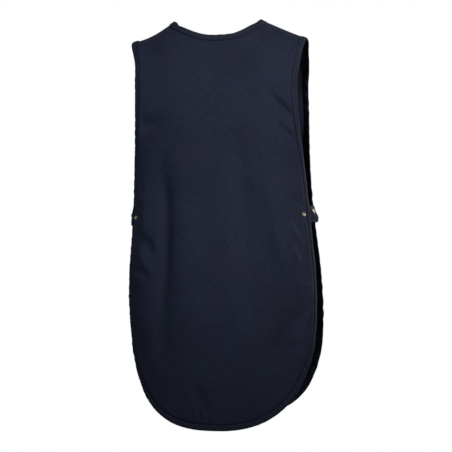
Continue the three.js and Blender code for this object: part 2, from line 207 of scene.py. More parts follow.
@dataclass(frozen=True)
class Level:
    """Hanging section of the apron at one height.

    drop is a share of the panel's length, half of the hip half width, middle and edge of
    the panel's depth; curl says how far the section curls at its edges, and sway is a
    share of the drift to the wearer's right.
    """

    drop: float
    half: float
    middle: float
    edge: float
    curl: float
    sway: float


LEVELS = (
    Level(0.000, 0.898, 0.86, 0.80, 0.70, 0.02),
    Level(0.050, 0.888, 0.87, 0.80, 0.70, 0.19),
    Level(0.100, 0.848, 0.88, 0.79, 0.75, 0.46),
    Level(0.160, 0.826, 0.90, 0.78, 0.80, 0.45),
    Level(0.235, 0.836, 0.91, 0.74, 0.84, 0.48),
    Level(0.300, 0.870, 0.90, 0.58, 0.88, 0.44),
    Level(0.375, 0.914, 0.86, 0.37, 0.91, 0.38),
    Level(0.450, 0.941, 0.83, 0.28, 0.92, 0.42),
    Level(0.530, 0.971, 0.86, 0.27, 0.93, 0.49),
    Level(0.610, 1.004, 0.93, 0.27, 0.93, 0.56),
    Level(0.690, 1.014, 0.98, 0.32, 0.93, 0.65),
    Level(0.770, 1.000, 1.00, 0.37, 0.92, 0.77),
    Level(0.860, 0.962, 1.01, 0.41, 0.91, 0.84),
    Level(1.000, 0.945, 1.02, 0.44, 0.90, 0.72),
)


@dataclass(frozen=True)
class HangingForm:
    """Widths, slopes and turns shared by both panels, in millimetres.

    The shoulder seam drops by shoulder_drop, with a soft start at the neck, a slump of the
    wearer's left tip and a hollow on each side. turn_at_neck and turn_at_tip say how far
    below the seam the cloth bends out to its full depth. curl_limit keeps a section from
    rolling up.
    """

    hip_half: float = 174.0
    neck_half: float = 91.0
    shoulder_drop: float = 29.0
    left_slump: float = 3.5
    right_hollow: float = 1.0
    left_hollow: float = 4.5
    slope_softening: float = 6.0
    drift: float = 18.0
    turn_at_neck: float = 170.0
    turn_at_tip: float = 112.0
    seam_gap: float = 0.3
    hem_rise: float = 202.0
    hem_power: float = 2.6
    curl_limit: float = 0.98
    levels: tuple[Level, ...] = LEVELS

    def value(self, column: str, level: np.ndarray) -> np.ndarray:
        """One column of the levels, eased between its rows.

        Args:
            column: Field name of Level.
            level: Drops as shares of the panel's length.

        Returns:
            The column's value at each level.
        """
        drops, values = (
            np.array([getattr(row, name) for row in self.levels]) for name in ("drop", column)
        )
        place = np.clip(level, 0.0, 1.0)
        row = np.clip(np.searchsorted(drops, place) - 1, 0, len(drops) - 2)
        before = np.maximum(row - 1, 0)
        after = np.minimum(row + 2, len(drops) - 1)
        span = drops[row + 1] - drops[row]
        leave = (values[row + 1] - values[before]) / (drops[row + 1] - drops[before]) * span
        arrive = (values[after] - values[row]) / (drops[after] - drops[row]) * span
        share = (place - drops[row]) / span
        return curve_between(values[row], leave, values[row + 1], arrive, share)

    @property
    def shoulder_half(self) -> float:
        """Half width across the shoulder tips."""
        return float(self.value("half", np.array([0.0]))[0]) * self.hip_half

    @property
    def neck_share(self) -> float:
        """Neck half width as a share of the shoulder half width."""
        return self.neck_half / self.shoulder_half

    def seam_drop(self, across: np.ndarray) -> np.ndarray:
        """Drop of the shoulder seam below its neck end.

        Args:
            across: Shares of the half width, -1 to 1.

        Returns:
            Drops in millimetres.
        """
        run = self.shoulder_half - self.neck_half
        past = np.abs(across) * self.shoulder_half - self.neck_half
        straight = (past + np.hypot(past, self.slope_softening) - self.slope_softening) / 2
        slumped = self.left_slump * np.clip(-across, 0.0, 1.0) ** 2
        along = np.clip(past / run, 0.0, 1.0)
        hollow = np.where(across < 0.0, self.left_hollow, self.right_hollow)
        return self.shoulder_drop / run * straight + slumped + 4.0 * hollow * along * (1.0 - along)


@dataclass(frozen=True)
class Crease:
    """A ridge or valley of the cloth along a bent line.

    across is a share of the half width and drop of the panel's length; width and height
    are in millimetres, a height below zero is a valley. Sharp creases have a power below
    two. fade is the share of the half width over which the crease dies at the edge, and
    end_share the share of its height that is left at its ends.
    """

    across: tuple[float, ...]
    drop: tuple[float, ...]
    width: float
    height: float
    power: float = 2.0
    fade: float = 0.22
    end_share: float = 0.35


# Long folds that the waist tabs pull into the back, and the drag lines round them
BACK_CREASES = (
    Crease((-0.64, -0.57, -0.56, -0.63), (0.34, 0.48, 0.64, 0.84), 17.5, -10.0),
    Crease((-0.88, -0.82, -0.86), (0.38, 0.50, 0.66), 14.0, 4.5),
    Crease((-0.36, -0.30, -0.22), (0.36, 0.54, 0.86), 30.0, 5.0),
    Crease((0.30, 0.34, 0.38), (0.30, 0.56, 0.74), 20.0, -6.5),
    Crease((0.60, 0.66, 0.71, 0.75), (0.34, 0.50, 0.60, 0.70), 22.0, 9.0),
    Crease((0.70, 0.74, 0.78), (0.34, 0.52, 0.70), 45.0, 8.0),
    Crease((0.66, 0.72, 0.70), (0.76, 0.82, 0.89), 28.0, -7.5),
    Crease((0.14, 0.12, 0.16), (0.34, 0.54, 0.70), 30.0, 3.0),
    Crease((-0.88, -0.72, -0.58), (0.46, 0.43, 0.38), 12.0, 3.6),
    Crease((-0.92, -0.80, -0.66), (0.53, 0.555, 0.60), 12.0, -4.4),
    Crease((0.94, 0.82, 0.70), (0.25, 0.22, 0.17), 10.4, -2.8),
    Crease((0.94, 0.86, 0.76), (0.32, 0.29, 0.25), 10.4, -2.4),
    Crease((-1.00, -0.84, -0.64), (0.262, 0.262, 0.25), 15.0, -5.5, fade=0.08),
    Crease((-0.24, -0.17, -0.10), (0.90, 0.94, 0.985), 12.2, -4.0),
    Crease((0.90, 0.76, 0.62), (0.73, 0.77, 0.82), 14.0, -4.0),
)

# Small creases that are too fine for the solid model
BACK_FINE_CREASES = (
    Crease((-0.84, -0.67), (0.066, 0.093), 8.0, -1.2, fade=0.08),
    Crease((-0.96, -0.76), (0.124, 0.096), 7.0, 1.2, fade=0.06),
    Crease((-1.00, -0.85), (0.318, 0.291), 6.0, -2.2, 1.6, 0.03),
    Crease((-0.99, -0.84), (0.288, 0.272), 7.0, 1.4, 1.8, 0.03),
    Crease((-0.10, 0.02, 0.14), (0.232, 0.245, 0.265), 9.0, -0.8),
    Crease((0.79, 0.90, 1.00), (0.200, 0.222, 0.250), 5.0, -2.4, 1.6, 0.02),
    Crease((0.78, 0.90, 0.99), (0.184, 0.205, 0.228), 6.0, 1.4, 1.8, 0.02),
    Crease((0.84, 0.92, 1.00), (0.266, 0.287, 0.316), 5.0, -2.2, 1.6, 0.02),
    Crease((0.84, 0.93, 1.00), (0.250, 0.271, 0.296), 6.0, 1.3, 1.8, 0.02),
    Crease((0.93, 1.00), (0.179, 0.186), 4.0, -0.9, 1.6, 0.02),
    Crease((0.97, 0.85), (0.468, 0.436), 4.5, -1.4, 1.6, 0.02),
    Crease((1.00, 0.84), (0.689, 0.749), 6.0, -1.8, 1.7, 0.02),
    Crease((1.00, 0.88), (0.712, 0.765), 5.0, 1.3, 1.7, 0.02),
    Crease((-0.96, -0.89, -0.82), (0.394, 0.440, 0.465), 6.0, 2.4, 1.8, 0.03),
    Crease((-0.94, -0.85), (0.459, 0.492), 4.5, 1.8, 1.8, 0.02),
    Crease((-0.87, -0.80), (0.452, 0.477), 4.5, -1.6, 1.8, 0.03),
    Crease((-0.97, -0.88), (0.485, 0.490), 6.0, -2.4, 1.8, 0.02),
    Crease((-0.83, -0.80), (0.477, 0.507), 5.0, 1.6, 1.8, 0.03),
    Crease((-0.91, -1.00), (0.517, 0.563), 5.0, 2.2, 1.8, 0.02),
    Crease((-0.77, -0.76), (0.547, 0.562), 8.0, -2.2, 1.8, 0.04),
    Crease((-0.68, -0.66), (0.542, 0.570), 6.0, 1.8, 1.8, 0.06),
    Crease((-0.91, -0.65), (0.575, 0.634), 7.0, 2.2, 1.8, 0.04),
    Crease((-0.93, -0.72), (0.605, 0.647), 6.0, -2.2, 1.8, 0.03),
    Crease((-0.98, -0.78), (0.628, 0.660), 6.0, 1.8, 1.8, 0.03),
    Crease((0.89, 0.80), (0.441, 0.465), 5.0, -1.8, 1.8, 0.03),
    Crease((0.62, 0.63, 0.67, 0.72), (0.470, 0.534, 0.586, 0.638), 8.0, 3.0, 1.8, 0.10),
    Crease((0.76, 0.84, 0.90), (0.500, 0.530, 0.559), 7.0, 2.6, 1.8, 0.03),
    Crease((0.78, 0.86), (0.562, 0.611), 7.0, 2.2, 1.8, 0.03),
    Crease((0.39, 0.36, 0.36), (0.534, 0.620, 0.693), 10.0, 2.0, 1.8, 0.10),
    Crease((0.99, 0.92, 0.86), (0.495, 0.495, 0.507), 4.5, -2.0, 1.8, 0.01),
    Crease((0.79, 0.93), (0.631, 0.626), 8.0, -2.0, 1.8, 0.02),
    Crease((0.82, 0.98), (0.670, 0.656), 6.0, 1.6, 1.8, 0.02),
    Crease((0.71, 0.87), (0.821, 0.805), 12.0, -2.5, 1.8, 0.04),
    Crease((0.955, 0.960), (0.483, 0.484), 7.0, -1.4, 1.8, 0.005, 1.0),
    Crease((-0.960, -0.955), (0.491, 0.492), 7.0, -1.4, 1.8, 0.005, 1.0),
    Crease((-0.22, -0.21), (0.959, 0.992), 4.2, 2.2, end_share=0.8),
    Crease((-0.14, -0.11), (0.953, 0.992), 4.2, 2.2, end_share=0.8),
    Crease((-0.05, -0.04), (0.967, 0.994), 4.2, 1.7, end_share=0.8),
    Crease((0.43, 0.46), (0.967, 0.988), 4.2, 1.7, end_share=0.8),
    Crease((0.51, 0.56), (0.962, 0.984), 4.2, 1.7, end_share=0.8),
    Crease((0.22, 0.42), (0.918, 0.830), 9.0, 1.6, 1.8, 0.10),
    Crease((-0.97, -0.75), (0.766, 0.721), 10.0, 1.8, fade=0.05),
    Crease((-0.90, -0.69), (0.790, 0.930), 14.0, -2.2, fade=0.10),
    Crease((-0.21, -0.09), (0.945, 0.990), 6.0, 1.6, 1.8),
    Crease((0.08, 0.12), (0.735, 0.737), 4.5, -0.8, end_share=0.9),
    Crease((-0.16, 0.02, 0.21), (0.902, 0.865, 0.857), 7.0, -0.9),
    Crease((0.21, 0.34, 0.42), (0.913, 0.868, 0.828), 7.0, 1.0),
    Crease((0.56, 0.72), (0.856, 0.860), 5.0, -0.8),
)

# The front's folds can't be seen and are guessed from the back's
FRONT_CREASES = (
    Crease((-0.52, -0.44, -0.50), (0.34, 0.56, 0.84), 19.1, -4.8),
    Crease((0.48, 0.40, 0.47), (0.36, 0.58, 0.86), 19.1, -4.8),
    Crease((-0.14, -0.08, -0.12), (0.42, 0.62, 0.94), 22.6, 4.2),
    Crease((0.88, 0.72, 0.56), (0.48, 0.46, 0.40), 13.9, 3.3),
    Crease((-0.88, -0.72, -0.56), (0.48, 0.46, 0.40), 13.9, 3.3),
)


@dataclass(frozen=True)
class Unevenness:
    """Small waves of worn cloth: amplitude in millimetres, wavelengths and seed."""

    amplitude: float
    wavelengths: tuple[float, ...]
    seed: int


@dataclass(frozen=True)
class PanelShape:
    """Cut and hanging shape of one panel, in millimetres.

    The neck fields shape the neckline and say how far its tight tape makes the cloth stand
    out. The pucker and groove fields say how the sewing gathers the cloth beside a tape and
    sinks it in the seam. Waves and puckers grow over seam_fade below the shoulder seam, and
    waves also over the share edge_fade from the sides. The hem swings to the wearer's right
    by swing.
    """

    side: Side
    length: float
    depth: float
    neck_drop: float
    neck_power: float
    neck_ease: float
    neck_skew: float
    neck_stand: float
    creases: tuple[Crease, ...]
    waves: tuple[Unevenness, ...]
    form: HangingForm = field(default_factory=HangingForm)
    pucker_height: float = 0.42
    pucker_reach: float = 11.0
    pucker_waves: tuple[float, ...] = (8.0, 12.0, 15.0, 23.0)
    pucker_slant: float = 0.9
    seam_fade: float = 60.0
    edge_fade: float = 0.1
    groove_depth: float = 3.0
    groove_reach: float = 2.3
    groove_start: float = 16.0
    neck_stand_reach: float = 13.0
    neck_stand_growth: float = 0.75
    swing: float = 0.0
    swing_growth: float = 1.5

    @property
    def sign(self) -> int:
        """Sign of the panel's Y."""
        return self.side.value

    def neck_fall(self, share: np.ndarray) -> np.ndarray:
        """Drop of the neckline at shares of the neck's half width.

        Args:
            share: -1 to 1.

        Returns:
            Drops in millimetres below the seam.
        """
        skewed = share - self.neck_skew * (1.0 - share**2)
        fall = np.maximum(1.0 - np.abs(skewed) ** self.neck_power, 0.0)
        return self.neck_drop * fall**self.neck_ease

    def hem_fall(self, across: np.ndarray) -> np.ndarray:
        """Drop of the hem's seam line at shares of the half width.

        Args:
            across: -1 to 1.

        Returns:
            Drops in millimetres.
        """
        form = self.form
        fall = np.maximum(1.0 - np.abs(across) ** form.hem_power, 0.0)
        return self.length - form.hem_rise + form.hem_rise * fall ** (1.0 / form.hem_power)

    def hanging_point(self, across: np.ndarray, drop: np.ndarray) -> np.ndarray:
        """Points of the hanging cloth before its folds.

        Args:
            across: Shares of the half width.
            drop: Drops in millimetres.

        Returns:
            N x 3 points in millimetres.
        """
        form = self.form
        level = drop / self.length
        x = across * form.value("half", level) * form.hip_half
        x = x + form.value("sway", level) * form.drift
        x = x + self.swing * np.maximum(level, 0.0) ** self.swing_growth
        curl = np.minimum(form.value("curl", level), form.curl_limit)
        rim = np.sqrt(1.0 - curl**2)
        crown = (np.sqrt(np.maximum(1.0 - (curl * across) ** 2, 0.0)) - rim) / (1.0 - rim)
        edge = form.value("edge", level)
        depth = mix(edge, form.value("middle", level), crown) * self.depth
        turn = mix(form.turn_at_neck, form.turn_at_tip, np.clip(np.abs(across), 0.0, 1.0))
        below = np.clip((drop - form.seam_drop(across)) / turn, 0.0, 1.0)
        arch = np.sqrt(1.0 - (1.0 - below) ** 2)
        y = self.sign * (form.seam_gap / 2 + depth * arch)
        return np.stack([x, y, -drop], axis=-1)

    def outward(self, across: np.ndarray, drop: np.ndarray) -> np.ndarray:
        """Outward directions of the hanging cloth before its folds.

        Args:
            across: Shares of the half width.
            drop: Drops in millimetres.

        Returns:
            N x 3 unit vectors.
        """
        step = 0.5
        reach = step / self.form.hip_half
        right = self.hanging_point(across + reach, drop) - self.hanging_point(across - reach, drop)
        down = self.hanging_point(across, drop + step) - self.hanging_point(
            across, np.maximum(drop - step, 0.0)
        )
        return unit(np.cross(down, right) * -self.sign)

    def fold_height(self, across: np.ndarray, drop: np.ndarray) -> np.ndarray:
        """Height of folds, waves and seam puckers over the hanging cloth.

        Args:
            across: Shares of the half width.
            drop: Drops in millimetres.

        Returns:
            Heights in millimetres.
        """
        hip_half = self.form.hip_half
        places = np.stack([across * hip_half, drop], axis=-1)
        to_edge = np.clip(1.0 - np.abs(across), 0.0, 1.0)
        height = np.zeros(len(places))
        for crease in self.creases:
            nearest, along = distance_to_line(
                places, np.array(crease.across) * hip_half, np.array(crease.drop) * self.length
            )
            taper = crease.end_share + (1.0 - crease.end_share) * np.sin(math.pi * along)
            profile = np.exp(-((nearest / crease.width) ** crease.power))
            height += crease.height * taper * profile * smooth_step(to_edge / crease.fade)
        past_seam = drop - self.form.seam_drop(across)
        below_seam = smooth_step(past_seam / self.seam_fade)
        for waves in self.waves:
            bumps = ripple(places, waves.wavelengths, waves.seed)
            height += waves.amplitude * bumps * below_seam * smooth_step(to_edge / self.edge_fade)
        reach = self.reach_to_edge(across, drop)
        near = np.exp(-reach / self.pucker_reach)
        along_edge = np.stack([drop + places[:, 0] * self.pucker_slant, drop * 0.0], axis=-1)
        pucker = ripple(along_edge, self.pucker_waves, SEED + self.sign)
        groove = -self.groove_depth * np.exp(-((reach / self.groove_reach) ** 2))
        groove = groove * smooth_step(past_seam / self.groove_start)
        return height + self.pucker_height * near * pucker * below_seam + groove + self.stand(
            across, drop
        )

    def stand(self, across: np.ndarray, drop: np.ndarray) -> np.ndarray:
        """How far the tight tape makes the cloth stand up towards the neckline.

        Args:
            across: Shares of the half width.
            drop: Drops in millimetres.

        Returns:
            Heights in millimetres.
        """
        share = np.clip(across / self.form.neck_share, -1.0, 1.0)
        fall_share = self.neck_fall(share) / self.neck_drop
        below = self.reach_to_neck(across, drop) / self.neck_stand_reach
        return self.neck_stand * smooth_step(fall_share / self.neck_stand_growth) * np.exp(-below)

    def reach_to_neck(self, across: np.ndarray, drop: np.ndarray) -> np.ndarray:
        """Distance below the neckline's seam, near enough, and less than zero above it.

        Args:
            across: Shares of the half width.
            drop: Drops in millimetres.

        Returns:
            Distances in millimetres.
        """
        form = self.form
        share = across / form.neck_share
        inside = np.clip(share, -1.0, 1.0)
        step = 0.01
        before, after = np.maximum(inside - step, -1.0), np.minimum(inside + step, 1.0)
        rise = self.neck_fall(after) - self.neck_fall(before)
        slope = rise / ((after - before) * form.neck_half)
        line = form.seam_drop(across) + self.neck_fall(inside)
        below = (drop - line) / np.hypot(1.0, slope)
        past = np.maximum(np.abs(share) - 1.0, 0.0) * form.neck_half
        return np.where(past > 0.0, np.hypot(np.maximum(below, 0.0), past), below)

    def reach_to_edge(self, across: np.ndarray, drop: np.ndarray) -> np.ndarray:
        """Distance from places on the cloth to its nearest seam line, near enough.

        Args:
            across: Shares of the half width.
            drop: Drops in millimetres.

        Returns:
            Distances in millimetres.
        """
        form = self.form
        half = form.value("half", drop / self.length) * form.hip_half
        inside = np.clip(across, -1.0, 1.0)
        side = (1.0 - np.abs(inside)) * half
        step = 0.01
        hem_slope = (self.hem_fall(inside * (1.0 - step)) - self.hem_fall(inside)) / (
            np.abs(inside) * step * half + 1e-6
        )
        hem = np.abs(self.hem_fall(inside) - drop) / np.hypot(1.0, hem_slope)
        neck = np.maximum(self.reach_to_neck(across, drop), 0.0)
        return np.minimum(np.minimum(side, hem), neck)

    def point(self, across: np.ndarray, drop: np.ndarray) -> np.ndarray:
        """Points of the outer face of the folded cloth.

        Args:
            across: Shares of the half width.
            drop: Drops in millimetres.

        Returns:
            N x 3 points in millimetres.
        """
        height = self.fold_height(across, drop)
        return self.hanging_point(across, drop) + self.outward(across, drop) * height[:, None]

    def normal(self, across: np.ndarray, drop: np.ndarray) -> np.ndarray:
        """Outward directions of the folded cloth.

        Args:
            across: Shares of the half width.
            drop: Drops in millimetres.

        Returns:
            N x 3 unit vectors.
        """
        reach = 0.008
        step = 2.0
        right = self.point(np.minimum(across + reach, 1.0), drop) - self.point(
            np.maximum(across - reach, -1.0), drop
        )
        down = self.point(across, drop + step) - self.point(across, np.maximum(drop - step, 0.0))
        return unit(np.cross(down, right) * -self.sign)

    def seam_normal(self, across: np.ndarray) -> np.ndarray:
        """Upward directions at the shoulder seam, square to its slope.

        Args:
            across: Shares of the half width.

        Returns:
            N x 3 unit vectors without Y.
        """
        reach = 0.01
        before, after = (
            self.hanging_point(place, self.form.seam_drop(place))
            for place in (across - reach, across + reach)
        )
        run = after - before
        return unit(np.stack([-run[:, 2], np.zeros(len(run)), run[:, 0]], axis=-1))


def distance_to_line(
    places: np.ndarray, xs: np.ndarray, ys: np.ndarray
) -> tuple[np.ndarray, np.ndarray]:
    """Distance from places to a bent line.

    Args:
        places: N x 2 places.
        xs: First coordinates of the line's points.
        ys: Second coordinates of the line's points.

    Returns:
        Distances, and how far along the line the nearest point lies, 0 to 1.
    """
    nearest = np.full(len(places), np.inf)
    along = np.zeros(len(places))
    for i in range(len(xs) - 1):
        start = np.array([xs[i], ys[i]])
        run = np.array([xs[i + 1], ys[i + 1]]) - start
        t = np.clip((places - start) @ run / (run @ run), 0.0, 1.0)
        distance = np.linalg.norm(places - start - t[:, None] * run, axis=1)
        closer = distance < nearest
        nearest = np.where(closer, distance, nearest)
        along = np.where(closer, (i + t) / (len(xs) - 1), along)
    return nearest, along


def smoothed(vectors: np.ndarray, passes: int = 30) -> np.ndarray:
    """Evens out directions along an edge and keeps its two ends.

    Args:
        vectors: N x 3 directions.
        passes: How often each direction is averaged with its neighbours.

    Returns:
        The evened directions.
    """
    even = vectors.copy()
    for _ in range(passes):
        even[1:-1] = (even[:-2] + 2.0 * even[1:-1] + even[2:]) / 4.0
    return even


@dataclass(frozen=True)
class Stations:
    """Places along an edge: points, outward directions, and directions to the rim."""

    points: np.ndarray
    normals: np.ndarray
    rims: np.ndarray

    @property
    def lengths(self) -> np.ndarray:
        """Length along the edge from the first station to each one, and back to it."""
        return lengths_along(closed_row(self.points))


def edge_path(shape: PanelShape, edge: Edge, spacing: float) -> tuple[np.ndarray, np.ndarray]:
    """Evenly spaced places along an edge of a panel, from shoulder seam to shoulder seam.

    Args:
        shape: The panel.
        edge: Which edge.
        spacing: Distance between places in millimetres.

    Returns:
        Shares of the half width and drops. The back runs from the wearer's left down and
        round to the right, and its neckline from right to left; the front the other way.
    """
    form = shape.form
    samples = 1500
    fine = np.linspace(0.0, 1.0, samples)
    if edge is Edge.OUTER:
        start = form.seam_drop(np.array([-1.0, 1.0]))
        corner = shape.length - form.hem_rise
        turn = np.sin((fine * 2.0 - 1.0) * math.pi / 2)
        across = np.concatenate([np.full(samples, -1.0), turn[1:-1], np.full(samples, 1.0)])
        drop = np.concatenate(
            [mix(start[0], corner, fine), shape.hem_fall(turn[1:-1]), mix(corner, start[1], fine)]
        )
    else:
        turn = np.sin((1.0 - 2.0 * fine) * math.pi / 2)
        across = turn * form.neck_share
        drop = form.seam_drop(across) + shape.neck_fall(turn)
    if shape.side is Side.FRONT:
        across, drop = across[::-1], drop[::-1]
    length = lengths_along(shape.hanging_point(across, drop))
    even = np.linspace(0.0, length[-1], int(length[-1] / spacing) + 1)
    return np.interp(even, length, across), np.interp(even, length, drop)


def edge_stations(back: PanelShape, front: PanelShape, edge: Edge, spacing: float) -> Stations:
    """Closed row of stations round both panels.

    Args:
        back: The back panel.
        front: The front panel.
        edge: Which edge.
        spacing: Distance between stations in millimetres.

    Returns:
        The stations. Those on the shoulder seams lie at Y zero.
    """
    parts = []
    for shape in (back, front):
        across, drop = edge_path(shape, edge, spacing)
        points = shape.point(across, drop)
        normals = shape.normal(across, drop)
        ends = np.array([0, -1])
        normals[ends] = shape.seam_normal(across[ends])
        runs = np.gradient(points, axis=0)
        runs[0] = (0.0, shape.sign, 0.0)
        runs[-1] = (0.0, -shape.sign, 0.0)
        rims = unit(smoothed(np.cross(runs, normals)))
        normals = unit(smoothed(normals))
        if shape.side is Side.BACK:
            points[ends, 1] = 0.0
            parts.append((points, normals, rims))
        else:
            parts.append((points[1:-1], normals[1:-1], rims[1:-1]))
    return Stations(*(np.concatenate(rows) for rows in zip(*parts)))


# Meshes


def mapped_grid(
    columns: int, rows: int, place: Callable[[np.ndarray, np.ndarray], np.ndarray]
) -> bmesh.types.BMesh:
    """A grid whose points are put in place by a function.

    Args:
        columns: Faces along the first direction.
        rows: Faces along the second direction.
        place: Gives N x 3 points in millimetres for shares 0 to 1 along both directions.

    Returns:
        The mesh in metres.
    """
    mesh = bmesh.new()
    bmesh.ops.create_grid(mesh, x_segments=columns, y_segments=rows, size=1.0)
    shares = np.array([vert.co[:2] for vert in mesh.verts]) * 0.5 + 0.5
    shares = np.round(shares * (columns, rows)) / (columns, rows)
    points = place(shares[:, 0], shares[:, 1]) * MILLIMETRE
    for vert, point in zip(mesh.verts, points):
        vert.co = point
    return mesh


def write_map(
    mesh: bmesh.types.BMesh, place: Callable[[bmesh.types.BMVert], tuple[float, float]]
) -> None:
    """Writes where each point of a sheet lies on the flat cloth.

    Args:
        mesh: The sheet.
        place: Gives the flat place of a point in metres.
    """
    flat = mesh.loops.layers.uv.new(UV_NAME)
    mesh.verts.index_update()
    for face in mesh.faces:
        for loop in face.loops:
            loop[flat].uv = place(loop.vert)


def face_towards(mesh: bmesh.types.BMesh, direction: Vector) -> None:
    """Turns all faces of a sheet over if most of them face away from a direction.

    Args:
        mesh: A sheet whose faces agree with each other.
        direction: The direction that its outer face looks in.
    """
    mesh.normal_update()
    facing = sum(face.normal.dot(direction) * face.calc_area() for face in mesh.faces)
    if facing < 0:
        bmesh.ops.reverse_faces(mesh, faces=mesh.faces[:])


def add_object(
    name: str, mesh: bmesh.types.BMesh, material: bpy.types.Material
) -> bpy.types.Object:
    """Turns a bmesh into an object of the scene.

    Args:
        name: Name of the object.
        mesh: The mesh, which is freed.
        material: Its material.

    Returns:
        The object, smooth shaded.
    """
    data = bpy.data.meshes.new(name)
    mesh.to_mesh(data)
    mesh.free()
    data.materials.append(material)
    data.shade_smooth()
    piece = bpy.data.objects.new(name, data)
    bpy.context.scene.collection.objects.link(piece)
    return piece


def add_modifier(piece: bpy.types.Object, kind: str, **settings: float | int | bool | str) -> None:
    """Adds a modifier with its settings.

    Args:
        piece: The object.
        kind: Modifier type.
        settings: Attribute values.
    """
    modifier = piece.modifiers.new(kind.title(), kind)
    for name, value in settings.items():
        setattr(modifier, name, value)


def fasten(piece: bpy.types.Object, slot: Slot, *nodes: str) -> None:
    """Lets a piece ride on the body, hides the solids that it replaces, and reports it.

    Args:
        piece: The object.
        slot: Material slot of the record. Not used.
        nodes: Solids that it replaces.
    """
    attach(piece, BODY)
    if nodes:
        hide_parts(*nodes)
    LOG.info("%s: %d faces", piece.name, len(piece.data.polygons))


# Materials


def linear_colour(code: str) -> tuple[float, float, float, float]:
    """Turns an sRGB hex colour into linear values.

    Args:
        code: Six hex digits.

    Returns:
        Linear red, green, blue and alpha one.
    """
    shares = [int(code[i : i + 2], 16) / 255 for i in (0, 2, 4)]
    linear = [c / 12.92 if c <= 0.04045 else ((c + 0.055) / 1.055) ** 2.4 for c in shares]
    return (*linear, 1.0)


def add_node(
    tree: bpy.types.NodeTree,
    kind: str,
    values: dict[str | int, object] | None = None,
    links: dict[str | int, bpy.types.NodeSocket] | None = None,
    **settings: object,
) -> bpy.types.Node:
    """Adds a shader node with its settings, socket values and incoming links.

    Args:
        tree: The node tree.
        kind: Node type name.
        values: Constant values by input name or number.
        links: Output sockets to link, by input name or number.
        settings: Attribute values of the node.

    Returns:
        The node.
    """
    node = tree.nodes.new(kind)
    for name, value in settings.items():
        setattr(node, name, value)
    for key, value in (values or {}).items():
        node.inputs[key].default_value = value
    for key, source in (links or {}).items():
        tree.links.new(source, node.inputs[key])
    return node


# Sockets of a colour Mix node, by number
COLOUR_AT_ZERO = 6
COLOUR_AT_ONE = 7
MIXED_COLOUR = 2


@dataclass(frozen=True)
class Finish:
    """A material with one Principled surface. Colours are sRGB hex, sizes in millimetres."""

    name: str

    def material(self) -> bpy.types.Material:
        """Builds the material.

        Returns:
            A material whose nodes are those of the finish.
        """
        material = bpy.data.materials.new(self.name)
        material.use_nodes = True
        tree = material.node_tree
        tree.nodes.clear()
        surface = self.surface(tree)
        add_node(tree, "ShaderNodeOutputMaterial", links={"Surface": surface.outputs[0]})
        return material

    def surface(self, tree: bpy.types.NodeTree) -> bpy.types.Node:
        """Adds the nodes of the finish.

        Args:
            tree: The node tree.

        Returns:
            The Principled node.
        """
        raise NotImplementedError


